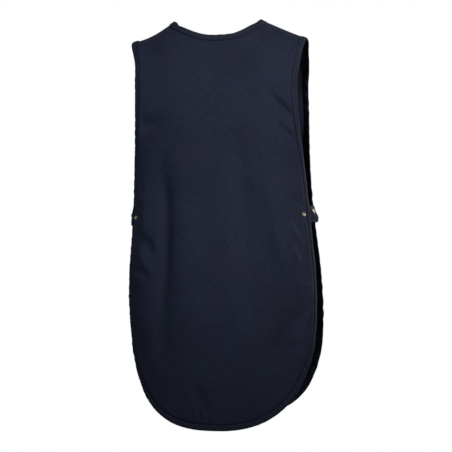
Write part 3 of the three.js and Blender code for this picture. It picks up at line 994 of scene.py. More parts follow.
@dataclass(frozen=True)
class WovenFinish(Finish):
    """Matte woven cotton: yarns, soft wear and a faint bloom of fibres.

    The yarns are drawn coarser than the real 0.4 mm, which is far below a pixel at the
    photograph's distance. Their grain and the wear set the shade between dark and light, and
    the light parts turn to the cast in large patches. Reads the flat cloth's own map.
    """

    dark: str = "1b2131"
    light: str = "28344b"
    yarn_pitch: float = 1.4
    slub_length: float = 9.0
    grain_contrast: float = 1.1
    grain_shift: float = -0.80
    patch_size: float = 60.0
    wear: float = 0.4
    roughness: float = 0.86
    sheen: float = 0.10
    sheen_tint: str = "8d95b8"
    bump: float = 0.10
    bump_depth: float = 0.4
    cast: str = "2d2e47"
    cast_share: float = 0.7
    cast_size: float = 85.0
    cast_range: tuple[float, float] = (0.38, 0.62)

    def surface(self, tree: bpy.types.NodeTree) -> bpy.types.Node:
        """Adds the woven cloth.

        Args:
            tree: The node tree.

        Returns:
            The Principled node.
        """
        flat = add_node(tree, "ShaderNodeUVMap", uv_map=UV_NAME).outputs["UV"]
        yarn, slub = (1.0 / (size * MILLIMETRE) for size in (self.yarn_pitch, self.slub_length))
        warp, weft = (
            add_node(
                tree,
                "ShaderNodeMapping",
                values={"Scale": (*scale, 1.0)},
                links={"Vector": flat},
            ).outputs[0]
            for scale in ((yarn, slub), (slub, yarn))
        )
        grain = {"Scale": 1.0, "Detail": 2.0, "Roughness": 0.6}
        wear = {
            "Scale": 1.0 / (self.patch_size * MILLIMETRE),
            "Detail": 3.0,
            "Roughness": 0.55,
        }
        cast = {
            "Scale": 1.0 / (self.cast_size * MILLIMETRE),
            "Detail": 2.0,
            "Distortion": 0.6,
        }
        across, along, patches, faded = (
            add_node(
                tree,
                "ShaderNodeTexNoise",
                values=values,
                links={"Vector": place},
                noise_dimensions="2D",
            ).outputs[0]
            for values, place in ((grain, warp), (grain, weft), (wear, flat), (cast, flat))
        )
        yarns = add_node(
            tree, "ShaderNodeMath", links={0: across, 1: along}, operation="ADD"
        ).outputs[0]
        shade = add_node(
            tree,
            "ShaderNodeMath",
            values={1: self.grain_contrast, 2: self.grain_shift},
            links={0: yarns},
            operation="MULTIPLY_ADD",
        )
        shade_and_wear = add_node(
            tree,
            "ShaderNodeMath",
            values={1: self.wear},
            links={0: patches, 2: shade.outputs[0]},
            operation="MULTIPLY_ADD",
        )
        spread = add_node(tree, "ShaderNodeClamp", links={"Value": shade_and_wear.outputs[0]})
        cast_from, cast_to = self.cast_range
        cast_amount = add_node(
            tree,
            "ShaderNodeMapRange",
            values={"From Min": cast_from, "From Max": cast_to, "To Max": self.cast_share},
            links={"Value": faded},
        )
        light = add_node(
            tree,
            "ShaderNodeMix",
            values={
                COLOUR_AT_ZERO: linear_colour(self.light),
                COLOUR_AT_ONE: linear_colour(self.cast),
            },
            links={0: cast_amount.outputs[0]},
            data_type="RGBA",
        )
        colour = add_node(
            tree,
            "ShaderNodeMix",
            values={COLOUR_AT_ZERO: linear_colour(self.dark)},
            links={0: spread.outputs[0], COLOUR_AT_ONE: light.outputs[MIXED_COLOUR]},
            data_type="RGBA",
        )
        relief = add_node(
            tree,
            "ShaderNodeBump",
            values={"Strength": self.bump, "Distance": self.bump_depth * MILLIMETRE},
            links={"Height": yarns},
        )
        return add_node(
            tree,
            "ShaderNodeBsdfPrincipled",
            values={
                "Roughness": self.roughness,
                "Specular IOR Level": 0.25,
                "Sheen Weight": self.sheen,
                "Sheen Roughness": 0.45,
                "Sheen Tint": linear_colour(self.sheen_tint),
            },
            links={"Base Color": colour.outputs[MIXED_COLOUR], "Normal": relief.outputs[0]},
        )


class Pattern(Enum):
    """Texture nodes that vary a plain finish. The value is the node's type."""

    NOISE = "ShaderNodeTexNoise"
    WAVE = "ShaderNodeTexWave"


# A wave texture of scale 1 repeats about every 0.3 of a unit
WAVE_REPEAT = 0.3


@dataclass(frozen=True)
class PlainFinish(Finish):
    """A finish with one pattern in Object coordinates between two colours.

    pattern_size is the size of a spot or the pitch of the waves; roughness goes from its
    first value at the dark colour to its second at the light one.
    """

    dark: str
    light: str
    pattern: Pattern
    pattern_size: float
    detail: float
    roughness: tuple[float, float]
    metallic: float = 0.0
    sheen: float = 0.0
    distortion: float = 0.0

    def surface(self, tree: bpy.types.NodeTree) -> bpy.types.Node:
        """Adds the pattern and what it varies.

        Args:
            tree: The node tree.

        Returns:
            The Principled node.
        """
        place = add_node(tree, "ShaderNodeTexCoord").outputs["Object"]
        is_wave = self.pattern is Pattern.WAVE
        unit_size = WAVE_REPEAT if is_wave else 1.0
        settings = {"bands_direction": "DIAGONAL"} if is_wave else {}
        share = add_node(
            tree,
            self.pattern.value,
            values={
                "Scale": unit_size / (self.pattern_size * MILLIMETRE),
                "Detail": self.detail,
                "Distortion": self.distortion,
            },
            links={"Vector": place},
            **settings,
        ).outputs["Fac"]
        colour = add_node(
            tree,
            "ShaderNodeMix",
            values={
                COLOUR_AT_ZERO: linear_colour(self.dark),
                COLOUR_AT_ONE: linear_colour(self.light),
            },
            links={0: share},
            data_type="RGBA",
        )
        rough_from, rough_to = self.roughness
        links = {"Base Color": colour.outputs[MIXED_COLOUR]}
        if rough_from != rough_to:
            rough = add_node(
                tree,
                "ShaderNodeMapRange",
                values={"To Min": rough_from, "To Max": rough_to},
                links={"Value": share},
            )
            links["Roughness"] = rough.outputs[0]
        return add_node(
            tree,
            "ShaderNodeBsdfPrincipled",
            values={
                "Metallic": self.metallic,
                "Roughness": rough_from,
                "Sheen Weight": self.sheen,
            },
            links=links,
        )


@dataclass(frozen=True)
class Materials:
    """All materials of the apron and its floor."""

    cloth: bpy.types.Material
    tape: bpy.types.Material
    metal: bpy.types.Material
    thread: bpy.types.Material
    floor: bpy.types.Material


def make_materials() -> Materials:
    """Builds every material once.

    Returns:
        The materials.
    """
    return Materials(
        # Near-black navy with a soft grain and slightly faded patches
        cloth=WovenFinish("navy polycotton").material(),
        # The same dye on a tighter tape, a little smoother and darker
        tape=WovenFinish(
            "navy bias tape",
            dark="1a202f",
            light="2a3249",
            yarn_pitch=1.2,
            slub_length=6.0,
            patch_size=25.0,
        ).material(),
        # Pale worn plating: fine scratches, and dull brass where the tarnish gathers
        metal=PlainFinish(
            "plated brass stud",
            dark="b9a276",
            light="fff4dc",
            pattern=Pattern.NOISE,
            pattern_size=0.6,
            detail=4.0,
            roughness=(0.294, 0.63),
            metallic=1.0,
        ).material(),
        # Two twisted plies, a shade lighter and glossier than the tape that they lie in
        thread=PlainFinish(
            "navy sewing thread",
            dark="2a3040",
            light="4c556b",
            pattern=Pattern.WAVE,
            pattern_size=0.5,
            detail=2.0,
            roughness=(0.6, 0.6),
            sheen=0.15,
            distortion=2.0,
        ).material(),
        # Even pale ground with a faint mottle that only lights the apron from below
        floor=PlainFinish(
            "pale studio floor",
            dark="e4e4e2",
            light="f2f2f0",
            pattern=Pattern.NOISE,
            pattern_size=180.0,
            detail=5.0,
            roughness=(0.8, 0.8),
        ).material(),
    )


# Pieces


@dataclass(frozen=True)
class Panel:
    """One cloth panel, from the shoulder seam to the hem, out to the fold of its tape.

    flat_width is the cut cloth's width, and tuck is how far the cloth runs on into the tape.
    The crowding, spread and settle fields place the grid: closer towards the sides, the seam
    and the hem, with a share of its columns on the neckline.
    """

    name: str
    node: str
    shape: PanelShape
    columns: int
    rows: int
    flat_width: float = 420.0
    wall: float = 0.6
    tuck: float = 7.5
    neck_columns_share: float = 0.5
    column_crowding: float = 0.6
    row_spread: float = 1.35
    hem_crowding: float = 1.8
    column_settle: float = 0.3

    def across_and_drop(self, u: np.ndarray, v: np.ndarray) -> tuple[np.ndarray, np.ndarray]:
        """Place on the panel of a grid point.

        Args:
            u: Shares across the grid, 0 to 1.
            v: Shares down the grid, 0 to 1.

        Returns:
            Shares of the half width and drops in millimetres.
        """
        shape = self.shape
        form = shape.form
        place = u * 2.0 - 1.0
        even = mix(place, np.sin(place * math.pi / 2), self.column_crowding)
        from_middle = np.abs(place) / self.neck_columns_share
        turn = (1.0 - (1.0 - np.minimum(from_middle, 1.0)) ** 2) * math.pi / 2
        past_neck = (np.abs(place) - self.neck_columns_share) / (1.0 - self.neck_columns_share)
        on_neck = from_middle <= 1.0
        top = np.sign(place) * np.where(
            on_neck, form.neck_share * np.sin(turn), mix(form.neck_share, 1.0, past_neck)
        )
        fall = np.where(on_neck, shape.neck_fall(top / form.neck_share), 0.0)
        top_drop = form.seam_drop(top) + fall
        fall_share = mix(v**self.row_spread, 1.0 - (1.0 - v) ** self.hem_crowding, v**2)
        drop = mix(top_drop, shape.hem_fall(even), fall_share)
        return mix(top, even, smooth_step(v / self.column_settle)), drop

    def build(
        self, edges: Sequence[Stations], material: bpy.types.Material
    ) -> bpy.types.Object:
        """Makes the panel.

        Args:
            edges: Stations of the outer edge and of the neckline.
            material: Its cloth.

        Returns:
            The panel, with a wall and an unrolled map in metres.
        """
        mesh = mapped_grid(
            self.columns, self.rows, lambda u, v: self.shape.point(*self.across_and_drop(u, v))
        )
        self._tuck_under_tape(mesh, edges)
        face_towards(mesh, Vector((0.0, self.shape.sign, 0.0)))
        stretch = self.flat_width / (2.0 * self.shape.form.hip_half)
        write_map(mesh, lambda vert: (vert.co.x * stretch, vert.co.z))
        piece = add_object(self.name, mesh, material)
        add_modifier(piece, "SOLIDIFY", thickness=self.wall * MILLIMETRE, offset=-1.0)
        fasten(piece, Slot.CLOTH, self.node)
        return piece

    def _tuck_under_tape(self, mesh: bmesh.types.BMesh, edges: Sequence[Stations]) -> None:
        """Carries the cloth on from its seam line into the fold of the tape.

        Args:
            mesh: The panel's sheet.
            edges: Stations of the outer edge and of the neckline.
        """
        points = np.concatenate([stations.points for stations in edges]) * MILLIMETRE
        rims = np.concatenate([stations.rims for stations in edges])
        seam = self.shape.form.seam_gap * MILLIMETRE
        sewn = [
            edge
            for edge in mesh.edges
            if edge.is_boundary and any(abs(vert.co.y) > seam for vert in edge.verts)
        ]
        made = bmesh.ops.extrude_edge_only(mesh, edges=sewn)["geom"]
        for vert in (item for item in made if isinstance(item, bmesh.types.BMVert)):
            nearest = np.argmin(np.linalg.norm(points - np.array(vert.co), axis=1))
            vert.co += Vector(rims[nearest]) * self.tuck * MILLIMETRE


@dataclass(frozen=True)
class Binding:
    """Tape folded over an edge of both panels and stitched beside its inner edge.

    The stitch row dents the tape at stitch_reach from the seam towards the rim, and its
    thread lies stitch_height over the cloth on both faces. rise lifts the tape outwards, and
    pucker is the share by which its thickness varies.
    """

    name: str
    node: str
    edge: Edge
    stitch_reach: float = 1.3
    stitch_height: float = 0.42
    cloth: float = 0.6
    rise: float = 1.0
    spacing: float = 3.4
    pucker: float = 0.06
    pucker_waves: tuple[float, ...] = (6.5, 9.0, 13.0, 21.0)

    @property
    def middle(self) -> float:
        """Height of the tape's middle over the outer face of the cloth."""
        return self.rise - self.cloth / 2

    @property
    def section(self) -> np.ndarray:
        """Section of the tape: reach towards the rim, and height over the tape's middle."""
        dent = self.stitch_reach
        outer = (
            (-0.2, 0.35),
            (0.3, 1.10),
            (dent - 0.6, 1.15),
            (dent, 0.72),
            (dent + 0.9, 1.25),
            ((dent + 8.9) / 2, 1.50),
            (8.0, 1.40),
            (10.0, 1.05),
            (10.9, 0.45),
        )
        return np.array(outer + tuple((reach, -height) for reach, height in reversed(outer)))

    def build(
        self, back: PanelShape, front: PanelShape, materials: Materials
    ) -> list[bpy.types.Object]:
        """Makes the tape and the row of stitches on each of its faces.

        Args:
            back: The back panel.
            front: The front panel.
            materials: All materials.

        Returns:
            The tape and its stitches.
        """
        stations = edge_stations(back, front, self.edge, self.spacing)
        pieces = [self._tape(stations, materials.tape)]
        for face, sign in (("outer", 1.0), ("inner", -1.0)):
            height = self.middle + sign * (self.cloth / 2 + self.stitch_height)
            row = (
                stations.points + stations.rims * self.stitch_reach + stations.normals * height
            )
            stitches = Stitching(f"{self.name}_stitches_{face}").build(
                closed_row(row), closed_row(stations.normals) * sign, materials.thread, Slot.TAPE
            )
            pieces.append(stitches)
        return pieces

    def _tape(self, stations: Stations, material: bpy.types.Material) -> bpy.types.Object:
        """Makes the tape as one closed ring.

        Args:
            stations: Stations along the edge's seam line.
            material: Its cloth.

        Returns:
            The tape.
        """
        count = len(stations.points)
        section = self.section
        length = stations.lengths[:-1]
        uneven = ripple(
            np.stack([length, length * 0.0], axis=-1), self.pucker_waves, SEED + len(self.name)
        )

        def place(u: np.ndarray, v: np.ndarray) -> np.ndarray:
            """Points of the tape.

            Args:
                u: Shares along the tape.
                v: Shares round its section.

            Returns:
                N x 3 points in millimetres.
            """
            station = np.round(u * count).astype(int) % count
            corner = np.round(v * len(section)).astype(int) % len(section)
            reach, height = section[corner].T
            height = height * (1.0 + self.pucker * uneven[station]) + self.middle
            return (
                stations.points[station]
                + stations.rims[station] * reach[:, None]
                + stations.normals[station] * height[:, None]
            )

        mesh = mapped_grid(count, len(section), place)
        around = lengths_along(closed_row(section)) * MILLIMETRE
        along = stations.lengths * MILLIMETRE
        columns = len(along)
        write_map(
            mesh, lambda vert: (around[vert.index // columns], along[vert.index % columns])
        )
        bmesh.ops.remove_doubles(mesh, verts=mesh.verts[:], dist=0.01 * MILLIMETRE)
        bmesh.ops.recalc_face_normals(mesh, faces=mesh.faces[:])
        piece = add_object(self.name, mesh, material)
        fasten(piece, Slot.TAPE, self.node)
        return piece


@dataclass(frozen=True)
class Stitching:
    """A row of lock stitches, each a small pillow of thread with few faces."""

    name: str
    pitch: float = 3.0
    length: float = 2.3
    width: float = 0.55
    height: float = 0.40

    def build(
        self,
        points: np.ndarray,
        normals: np.ndarray,
        material: bpy.types.Material,
        slot: Slot,
    ) -> bpy.types.Object:
        """Lays stitches along a row of points.

        Args:
            points: N x 3 points of the row in millimetres.
            normals: Outward directions at the points.
            material: The thread.
            slot: Material slot of the record, passed on to fasten, which doesn't use it.

        Returns:
            All stitches as one piece.
        """
        lengths = lengths_along(points)
        half = self.pitch / 2
        places = np.arange(half, lengths[-1] - half, self.pitch)
        centre, before, after, up = (
            np.stack([np.interp(at, lengths, source[:, axis]) for axis in range(3)], axis=-1)
            for at, source in (
                (places, points),
                (places - half, points),
                (places + half, points),
                (places, normals),
            )
        )
        run = unit(after - before)
        side = unit(np.cross(run, up))
        up = np.cross(side, run)
        template = bmesh.new()
        bmesh.ops.create_uvsphere(template, u_segments=5, v_segments=4, radius=0.5)
        shape = np.array([vert.co[:] for vert in template.verts])
        shape *= (self.width, self.height, self.length)
        faces = [[vert.index for vert in face.verts] for face in template.faces]
        template.free()
        corners = (
            centre[:, None, :]
            + shape[None, :, 2:3] * run[:, None, :]
            + shape[None, :, 0:1] * side[:, None, :]
            + shape[None, :, 1:2] * up[:, None, :]
        ).reshape(-1, 3)
        data = bpy.data.meshes.new(self.name)
        data.from_pydata(
            (corners * MILLIMETRE).tolist(),
            [],
            [[i + n * len(shape) for i in face] for n in range(len(places)) for face in faces],
        )
        mesh = bmesh.new()
        mesh.from_mesh(data)
        bpy.data.meshes.remove(data)
        bmesh.ops.recalc_face_normals(mesh, faces=mesh.faces[:])
        piece = add_object(self.name, mesh, material)
        fasten(piece, slot)
        return piece


@dataclass(frozen=True)
class WaistTab:
    """Tab of doubled cloth from under the back panel, round the side, under the front.

    Each end reaches lap under its panel, on lap_share of the tab's columns, inset below the
    cloth at the rim and lean deeper at its end. bulge and pull say how far the tab stands out
    between the panels; bulge_profile gives places down the tab and shares of the bulge
    there. stud_inset is how far in from the rim the panel's stud sits, and stud_lean how far
    it turns out with the cloth's edge.
    """

    hand: Hand
    back: PanelShape
    front: PanelShape
    bulge: float
    waist_drop: float
    stud_lean: float = 0.0
    bulge_profile: tuple[tuple[float, float], ...] = (
        (0.0, 0.26),
        (0.167, 0.32),
        (0.333, 0.50),
        (0.5, 0.80),
        (0.667, 1.04),
        (0.833, 1.02),
        (1.0, 0.80),
    )
    pull: float = 8.0
    width: float = 30.0
    wall: float = 1.7
    bevel: float = 0.5
    lap: float = 34.0
    lap_share: float = 0.3
    inset: float = 3.0
    lean: float = 1.4
    tape_width: float = 10.0
    stud_inset: float = 17.0
    spare_place: tuple[float, float] = (0.40, 0.333)
    stitch_margins: tuple[float, float] = (0.03, 0.08)
    columns: int = 48
    rows: int = 18

    @property
    def side(self) -> str:
        """Word for the tab's side in the names of its pieces."""
        return self.hand.name.lower()

    def lapped(self, shape: PanelShape, back: np.ndarray, drop: np.ndarray) -> np.ndarray:
        """Points under a panel.

        Args:
            shape: The panel.
            back: Distance back from the panel's rim in millimetres.
            drop: Drops in millimetres.

        Returns:
            N x 3 points in millimetres.
        """
        sign = self.hand.value
        half = shape.form.value("half", drop / shape.length) * shape.form.hip_half
        inward = np.maximum(back - self.tape_width, 0.0)
        across = sign * (1.0 - inward / half)
        normal = shape.outward(across, drop)
        _, outward = self.rim(shape, drop)
        depth = self.inset + self.lean * inward / (self.lap - self.tape_width)
        past = np.clip(self.tape_width - back, 0.0, self.tape_width)
        return (
            shape.hanging_point(across, drop)
            - normal * depth[:, None]
            + outward * past[:, None]
        )

    def rim(self, shape: PanelShape, drop: np.ndarray) -> tuple[np.ndarray, np.ndarray]:
        """Rim of a panel beside the tab.

        Args:
            shape: The panel.
            drop: Drops in millimetres.

        Returns:
            Points at the tab's depth, and outward directions in the cloth's own plane.
        """
        sign = self.hand.value
        across = np.full(len(drop), float(sign))
        normal = shape.outward(across, drop)
        step = 3.0
        down = shape.hanging_point(across, drop + step) - shape.hanging_point(across, drop - step)
        outward = unit(np.cross(down, normal) * shape.sign * sign)
        point = shape.hanging_point(across, drop) + outward * self.tape_width
        return point - normal * self.inset, outward

    def point(self, u: np.ndarray, v: np.ndarray) -> np.ndarray:
        """Points of the tab's outer face.

        Args:
            u: Shares from the back end to the front end.
            v: Shares from the top edge to the lower edge.

        Returns:
            N x 3 points in millimetres.
        """
        lap_share = self.lap_share
        drop = self.waist_drop + (v - 0.5) * self.width
        back_rim, back_out = self.rim(self.back, drop)
        front_rim, front_out = self.rim(self.front, drop)
        bulge = self.bulge * np.interp(v, *zip(*self.bulge_profile))
        pull = self.pull * bulge / np.linalg.norm(back_out + front_out, axis=1)
        share = np.clip((u - lap_share) / (1.0 - 2.0 * lap_share), 0.0, 1.0)
        span = curve_between(
            back_rim,
            back_out * pull[:, None],
            front_rim,
            -front_out * pull[:, None],
            share[:, None],
        )
        under_back = self.lapped(self.back, self.lap * (1.0 - u / lap_share), drop)
        under_front = self.lapped(self.front, self.lap * (1.0 - (1.0 - u) / lap_share), drop)
        points = np.where((u < lap_share)[:, None], under_back, span)
        return np.where((u > 1.0 - lap_share)[:, None], under_front, points)

    def outward(self, u: np.ndarray, v: np.ndarray) -> np.ndarray:
        """Outward directions of the tab's outer face.

        Args:
            u: Shares from the back end to the front end.
            v: Shares from the top edge to the lower edge.

        Returns:
            N x 3 unit vectors.
        """
        ahead, below = 0.01, 0.1
        along = self.point(np.minimum(u + ahead, 1.0), v) - self.point(np.maximum(u - ahead, 0.0), v)
        down = self.point(u, np.minimum(v + below, 1.0)) - self.point(u, np.maximum(v - below, 0.0))
        return unit(np.cross(along, down) * -self.hand.value)

    def build(self, materials: Materials) -> list[bpy.types.Object]:
        """Makes the tab with its edge stitching and its two studs.

        Args:
            materials: All materials.

        Returns:
            The cloth, the stitching and the studs.
        """
        mesh = mapped_grid(self.columns, self.rows, self.point)
        write_map(mesh, lambda vert: (vert.co.y, vert.co.z))
        face_towards(mesh, Vector((self.hand.value, 0.0, 0.0)))
        cloth = add_object(f"waist_tab_{self.side}_cloth", mesh, materials.cloth)
        add_modifier(
            cloth, "SOLIDIFY", thickness=self.wall * MILLIMETRE, offset=-1.0, use_rim=True
        )
        add_modifier(
            cloth,
            "BEVEL",
            width=self.bevel * MILLIMETRE,
            segments=2,
            limit_method="ANGLE",
            angle_limit=math.radians(50.0),
        )
        fasten(cloth, Slot.CLOTH, f"waist_tab_{self.side}")
        return [cloth, self._edge_stitching(materials.thread), *self._studs(materials.metal)]

    def _edge_stitching(self, thread: bpy.types.Material) -> bpy.types.Object:
        """One row of stitches round the tab, inside its edges.

        Args:
            thread: Its material.

        Returns:
            The stitches.
        """
        end, edge = self.stitch_margins
        run = np.linspace(end, 1.0 - end, 60)
        fall = np.linspace(edge, 1.0 - edge, 12)
        u = np.concatenate([run, np.full_like(fall, 1.0 - end), run[::-1], np.full_like(fall, end)])
        v = np.concatenate([np.full_like(run, edge), fall, np.full_like(run, 1.0 - edge), fall[::-1]])
        stitching = Stitching(f"tab_stitching_{self.side}")
        return stitching.build(self.point(u, v), self.outward(u, v), thread, Slot.CLOTH)

    def _studs(self, metal: bpy.types.Material) -> list[bpy.types.Object]:
        """The stud that fastens the tab and the spare one for a wider fit.

        Args:
            metal: Their material.

        Returns:
            Both studs.
        """
        back = self.back
        drop = np.array([self.waist_drop])
        half = back.form.value("half", drop / back.length) * back.form.hip_half
        across = self.hand.value * (1.0 + (self.tape_width - self.stud_inset) / half)
        lean = self.rim(back, drop)[1][0] * self.stud_lean
        panel = PressStud(f"panel_stud_{self.side}_cap", f"panel_stud_{self.side}").build(
            back.point(across, drop)[0], unit(back.normal(across, drop)[0] + lean), metal
        )
        u, v = (np.array([share]) for share in self.spare_place)
        spare = PressStud(f"spare_stud_{self.side}_cap", f"spare_stud_{self.side}").build(
            self.point(u, v)[0], self.outward(u, v)[0], metal
        )
        return [panel, spare]


@dataclass(frozen=True)
class PressStud:
    """Round press-stud cap with a raised ring and a dished centre."""

    name: str
    node: str
    radius: float = 4.3
    height: float = 1.3
    stand_off: float = 0.5
    steps: int = 32

    # Turned outline: shares of the radius and of the height
    outline: tuple[tuple[float, float], ...] = (
        (0.90, 0.00),
        (0.98, 0.12),
        (1.00, 0.35),
        (0.97, 0.68),
        (0.88, 0.93),
        (0.78, 1.00),
        (0.68, 0.92),
        (0.60, 0.62),
        (0.54, 0.36),
        (0.44, 0.24),
        (0.25, 0.20),
        (0.00, 0.18),
    )

    def build(
        self, point: np.ndarray, normal: np.ndarray, metal: bpy.types.Material
    ) -> bpy.types.Object:
        """Turns the cap and sets it on the cloth.

        Args:
            point: Where its base lies, in millimetres.
            normal: Outward direction there.
            metal: Its material.

        Returns:
            The cap.
        """
        mesh = bmesh.new()
        verts = [
            mesh.verts.new((share * self.radius * MILLIMETRE, 0.0, up * self.height * MILLIMETRE))
            for share, up in self.outline
        ]
        edges = [mesh.edges.new(pair) for pair in zip(verts, verts[1:])]
        bmesh.ops.spin(
            mesh,
            geom=verts + edges,
            axis=(0.0, 0.0, 1.0),
            cent=(0.0, 0.0, 0.0),
            angle=2.0 * math.pi,
            steps=self.steps,
            use_merge=True,
        )
        bmesh.ops.remove_doubles(mesh, verts=mesh.verts[:], dist=0.005 * MILLIMETRE)
        rim = [edge for edge in mesh.edges if edge.is_boundary]
        bmesh.ops.contextual_create(mesh, geom=rim)
        bmesh.ops.recalc_face_normals(mesh, faces=mesh.faces[:])
        outward = Vector(normal)
        turn = outward.to_track_quat("Z", "Y").to_matrix()
        bmesh.ops.rotate(mesh, verts=mesh.verts[:], matrix=turn, cent=(0.0, 0.0, 0.0))
        place = Vector(point) * MILLIMETRE + outward * self.stand_off * MILLIMETRE
        bmesh.ops.translate(mesh, verts=mesh.verts[:], vec=place)
        piece = add_object(self.name, mesh, metal)
        fasten(piece, Slot.METAL, self.node)
        return piece


@dataclass(frozen=True)
class ShoulderSeam:
    """Narrow felled seam that joins the panels on one shoulder."""

    hand: Hand
    back: PanelShape
    front: PanelShape
    half_width: float = 4.0
    rise: float = 0.55
    wall: float = 0.8
    end_gap: float = 0.005
    columns: int = 24
    rows: int = 6

    def build(self, material: bpy.types.Material) -> bpy.types.Object:
        """Makes the seam's welt.

        Args:
            material: Its cloth.

        Returns:
            The welt.
        """
        form = self.back.form

        def place(u: np.ndarray, v: np.ndarray) -> np.ndarray:
            """Points of the welt.

            Args:
                u: Shares along the seam, from the neck outwards.
                v: Shares over it, from the back to the front.

            Returns:
                N x 3 points in millimetres.
            """
            across = mix(form.neck_share + self.end_gap, 1.0 - self.end_gap, u)
            across = self.hand.value * across
            over = v * 2.0 - 1.0
            fall = (over * self.half_width) ** 2 / (2.0 * form.turn_at_tip)
            drop = form.seam_drop(across) + fall
            points = np.where(
                (over < 0)[:, None],
                self.back.hanging_point(across, drop),
                self.front.hanging_point(across, drop),
            )
            points[:, 1] = np.where(np.abs(over) < 1e-6, 0.0, points[:, 1])
            rise = self.rise * np.sqrt(np.maximum(1.0 - over**2, 0.0))
            return points + self.back.seam_normal(across) * rise[:, None]

        mesh = mapped_grid(self.columns, self.rows, place)
        write_map(mesh, lambda vert: (vert.co.x, vert.co.y))
        face_towards(mesh, Vector((0.0, 0.0, 1.0)))
        piece = add_object(f"shoulder_seam_{self.hand.name.lower()}", mesh, material)
        add_modifier(piece, "SOLIDIFY", thickness=self.wall * MILLIMETRE, offset=-1.0)
        fasten(piece, Slot.CLOTH)
        return piece


@dataclass(frozen=True)
class Apron:
    """The whole apron."""

    back: PanelShape
    front: PanelShape
    materials: Materials
    tuck_spacing: float = 1.5

    def build(self) -> None:
        """Builds every piece in order."""
        back, front, materials = self.back, self.front, self.materials
        edges = [edge_stations(back, front, edge, self.tuck_spacing) for edge in Edge]
        back_piece = Panel("back_cloth", "back_panel", back, 160, 230).build(
            edges, materials.cloth
        )
        front_piece = Panel("front_cloth", "front_panel", front, 80, 116).build(
            edges, materials.cloth
        )
        trim = []
        for binding in (
            Binding("edge_tape", "edge_binding", Edge.OUTER),
            Binding("neck_tape", "neck_binding", Edge.NECK, stitch_reach=5.0),
        ):
            trim += binding.build(back, front, materials)
        seams = [ShoulderSeam(hand, back, front).build(materials.cloth) for hand in Hand]
        for tab in (
            WaistTab(Hand.RIGHT, back, front, bulge=9.0, waist_drop=359.0, stud_lean=0.16),
            WaistTab(Hand.LEFT, back, front, bulge=5.0, waist_drop=365.0),
        ):
            pieces = tab.build(materials)
            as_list(pieces[1:])


# Studio


@dataclass(frozen=True)
class AreaLamp:
    """A soft lamp aimed at a point, in metres and watts."""

    name: str
    place: tuple[float, float, float]
    aim: tuple[float, float, float]
    size: float
    power: float
    colour: str = "ffffff"
    spread: float = 180.0

    def build(self) -> None:
        """Adds the lamp."""
        data = bpy.data.lights.new(self.name, "AREA")
        data.shape = "DISK"
        data.size = self.size
        data.energy = self.power
        data.spread = math.radians(self.spread)
        data.color = linear_colour(self.colour)[:3]
        lamp = bpy.data.objects.new(self.name, data)
        lamp.location = self.place
        direction = Vector(self.aim) - Vector(self.place)
        lamp.rotation_euler = direction.to_track_quat("-Z", "Y").to_euler()
        bpy.context.scene.collection.objects.link(lamp)


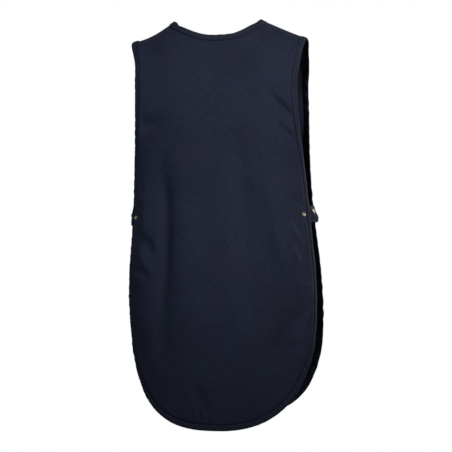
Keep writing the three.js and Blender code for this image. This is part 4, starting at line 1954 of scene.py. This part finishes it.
@dataclass(frozen=True)
class Studio:
    """Camera, lamps, white surround and pale floor."""

    distance: float = 3.5
    azimuth: float = 10.0
    height: float = -0.3804
    shift_x: float = 0.0166
    lens: float = 148.3
    ambient: float = 0.05
    floor_height: float = -1.4
    floor_radius: float = 1.0
    lamps: tuple[AreaLamp, ...] = (
        AreaLamp("key", (1.9, -2.0, 0.9), (0.02, 0.0, -0.22), 0.5, 1.50, "fff8f2", 28.0),
        AreaLamp("fill", (-1.6, -2.4, 0.5), (0.0, 0.0, -0.22), 0.8, 0.72, "f4f6ff", 28.0),
        AreaLamp("far_side_left", (-0.8, 2.6, 0.1), (0.0, 0.0, -0.35), 1.4, 34.0, "fff8f2"),
        AreaLamp("far_side_right", (1.6, 2.2, 0.2), (0.0, 0.0, -0.35), 1.4, 25.0, "f4f6ff"),
    )

    def build(self, floor: bpy.types.Material) -> None:
        """Adds everything round the apron.

        Args:
            floor: Material of the floor.
        """
        scene = bpy.context.scene
        scene.view_settings.view_transform = "Standard"
        self._camera(scene)
        self._surround(scene)
        for lamp in self.lamps:
            lamp.build()
        mesh = bmesh.new()
        bmesh.ops.create_circle(mesh, cap_ends=True, segments=96, radius=self.floor_radius)
        bmesh.ops.translate(mesh, verts=mesh.verts[:], vec=(0.0, 0.0, self.floor_height))
        add_object("studio_floor", mesh, floor)

    def _camera(self, scene: bpy.types.Scene) -> None:
        """Adds the camera, level and turned a little to the wearer's right.

        Args:
            scene: The scene.
        """
        angle = math.radians(self.azimuth)
        data = bpy.data.cameras.new("photo_camera")
        data.sensor_width = 36.0
        data.lens = self.lens
        data.shift_x = self.shift_x
        data.clip_end = 50.0
        camera = bpy.data.objects.new("photo_camera", data)
        camera.location = (
            math.sin(angle) * self.distance,
            -math.cos(angle) * self.distance,
            self.height,
        )
        camera.rotation_euler = (math.pi / 2, 0.0, angle)
        scene.collection.objects.link(camera)
        scene.camera = camera

    def _surround(self, scene: bpy.types.Scene) -> None:
        """White behind the apron, and a softer even light on it.

        Args:
            scene: The scene.
        """
        world = bpy.data.worlds.new("white_surround")
        world.use_nodes = True
        tree = world.node_tree
        tree.nodes.clear()
        seen = add_node(tree, "ShaderNodeLightPath").outputs["Is Camera Ray"]
        soft, white = (
            add_node(
                tree,
                "ShaderNodeBackground",
                values={"Color": linear_colour("ffffff"), "Strength": strength},
            ).outputs[0]
            for strength in (self.ambient, 1.0)
        )
        both = add_node(tree, "ShaderNodeMixShader", links={0: seen, 1: soft, 2: white})
        add_node(tree, "ShaderNodeOutputWorld", links={"Surface": both.outputs[0]})
        scene.world = world


def main() -> None:
    """Builds the apron and its studio in order."""
    logging.basicConfig(level=logging.INFO, format="%(name)s %(message)s")
    LOG.info("frame of %d nodes loaded", len(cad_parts))
    materials = make_materials()
    worn = (
        Unevenness(0.9, (70.0, 95.0, 120.0, 150.0), SEED),
        Unevenness(0.16, (17.0, 22.0, 27.0, 34.0, 41.0), SEED + 1),
    )
    back = PanelShape(
        side=Side.BACK,
        length=742.5,
        depth=116.0,
        neck_drop=44.0,
        neck_power=2.4,
        neck_ease=0.74,
        neck_skew=0.10,
        neck_stand=10.0,
        creases=BACK_CREASES + BACK_FINE_CREASES,
        waves=worn,
    )
    front = replace(
        back,
        side=Side.FRONT,
        length=735.0,
        depth=120.0,
        neck_drop=92.0,
        neck_power=2.1,
        neck_ease=0.48,
        neck_skew=0.0,
        neck_stand=3.0,
        creases=FRONT_CREASES,
        swing=8.0,
    )
    Apron(back, front, materials).build()
    Studio().build(materials.floor)
    LOG.info("apron built")


if __name__ == "__main__":
    main()
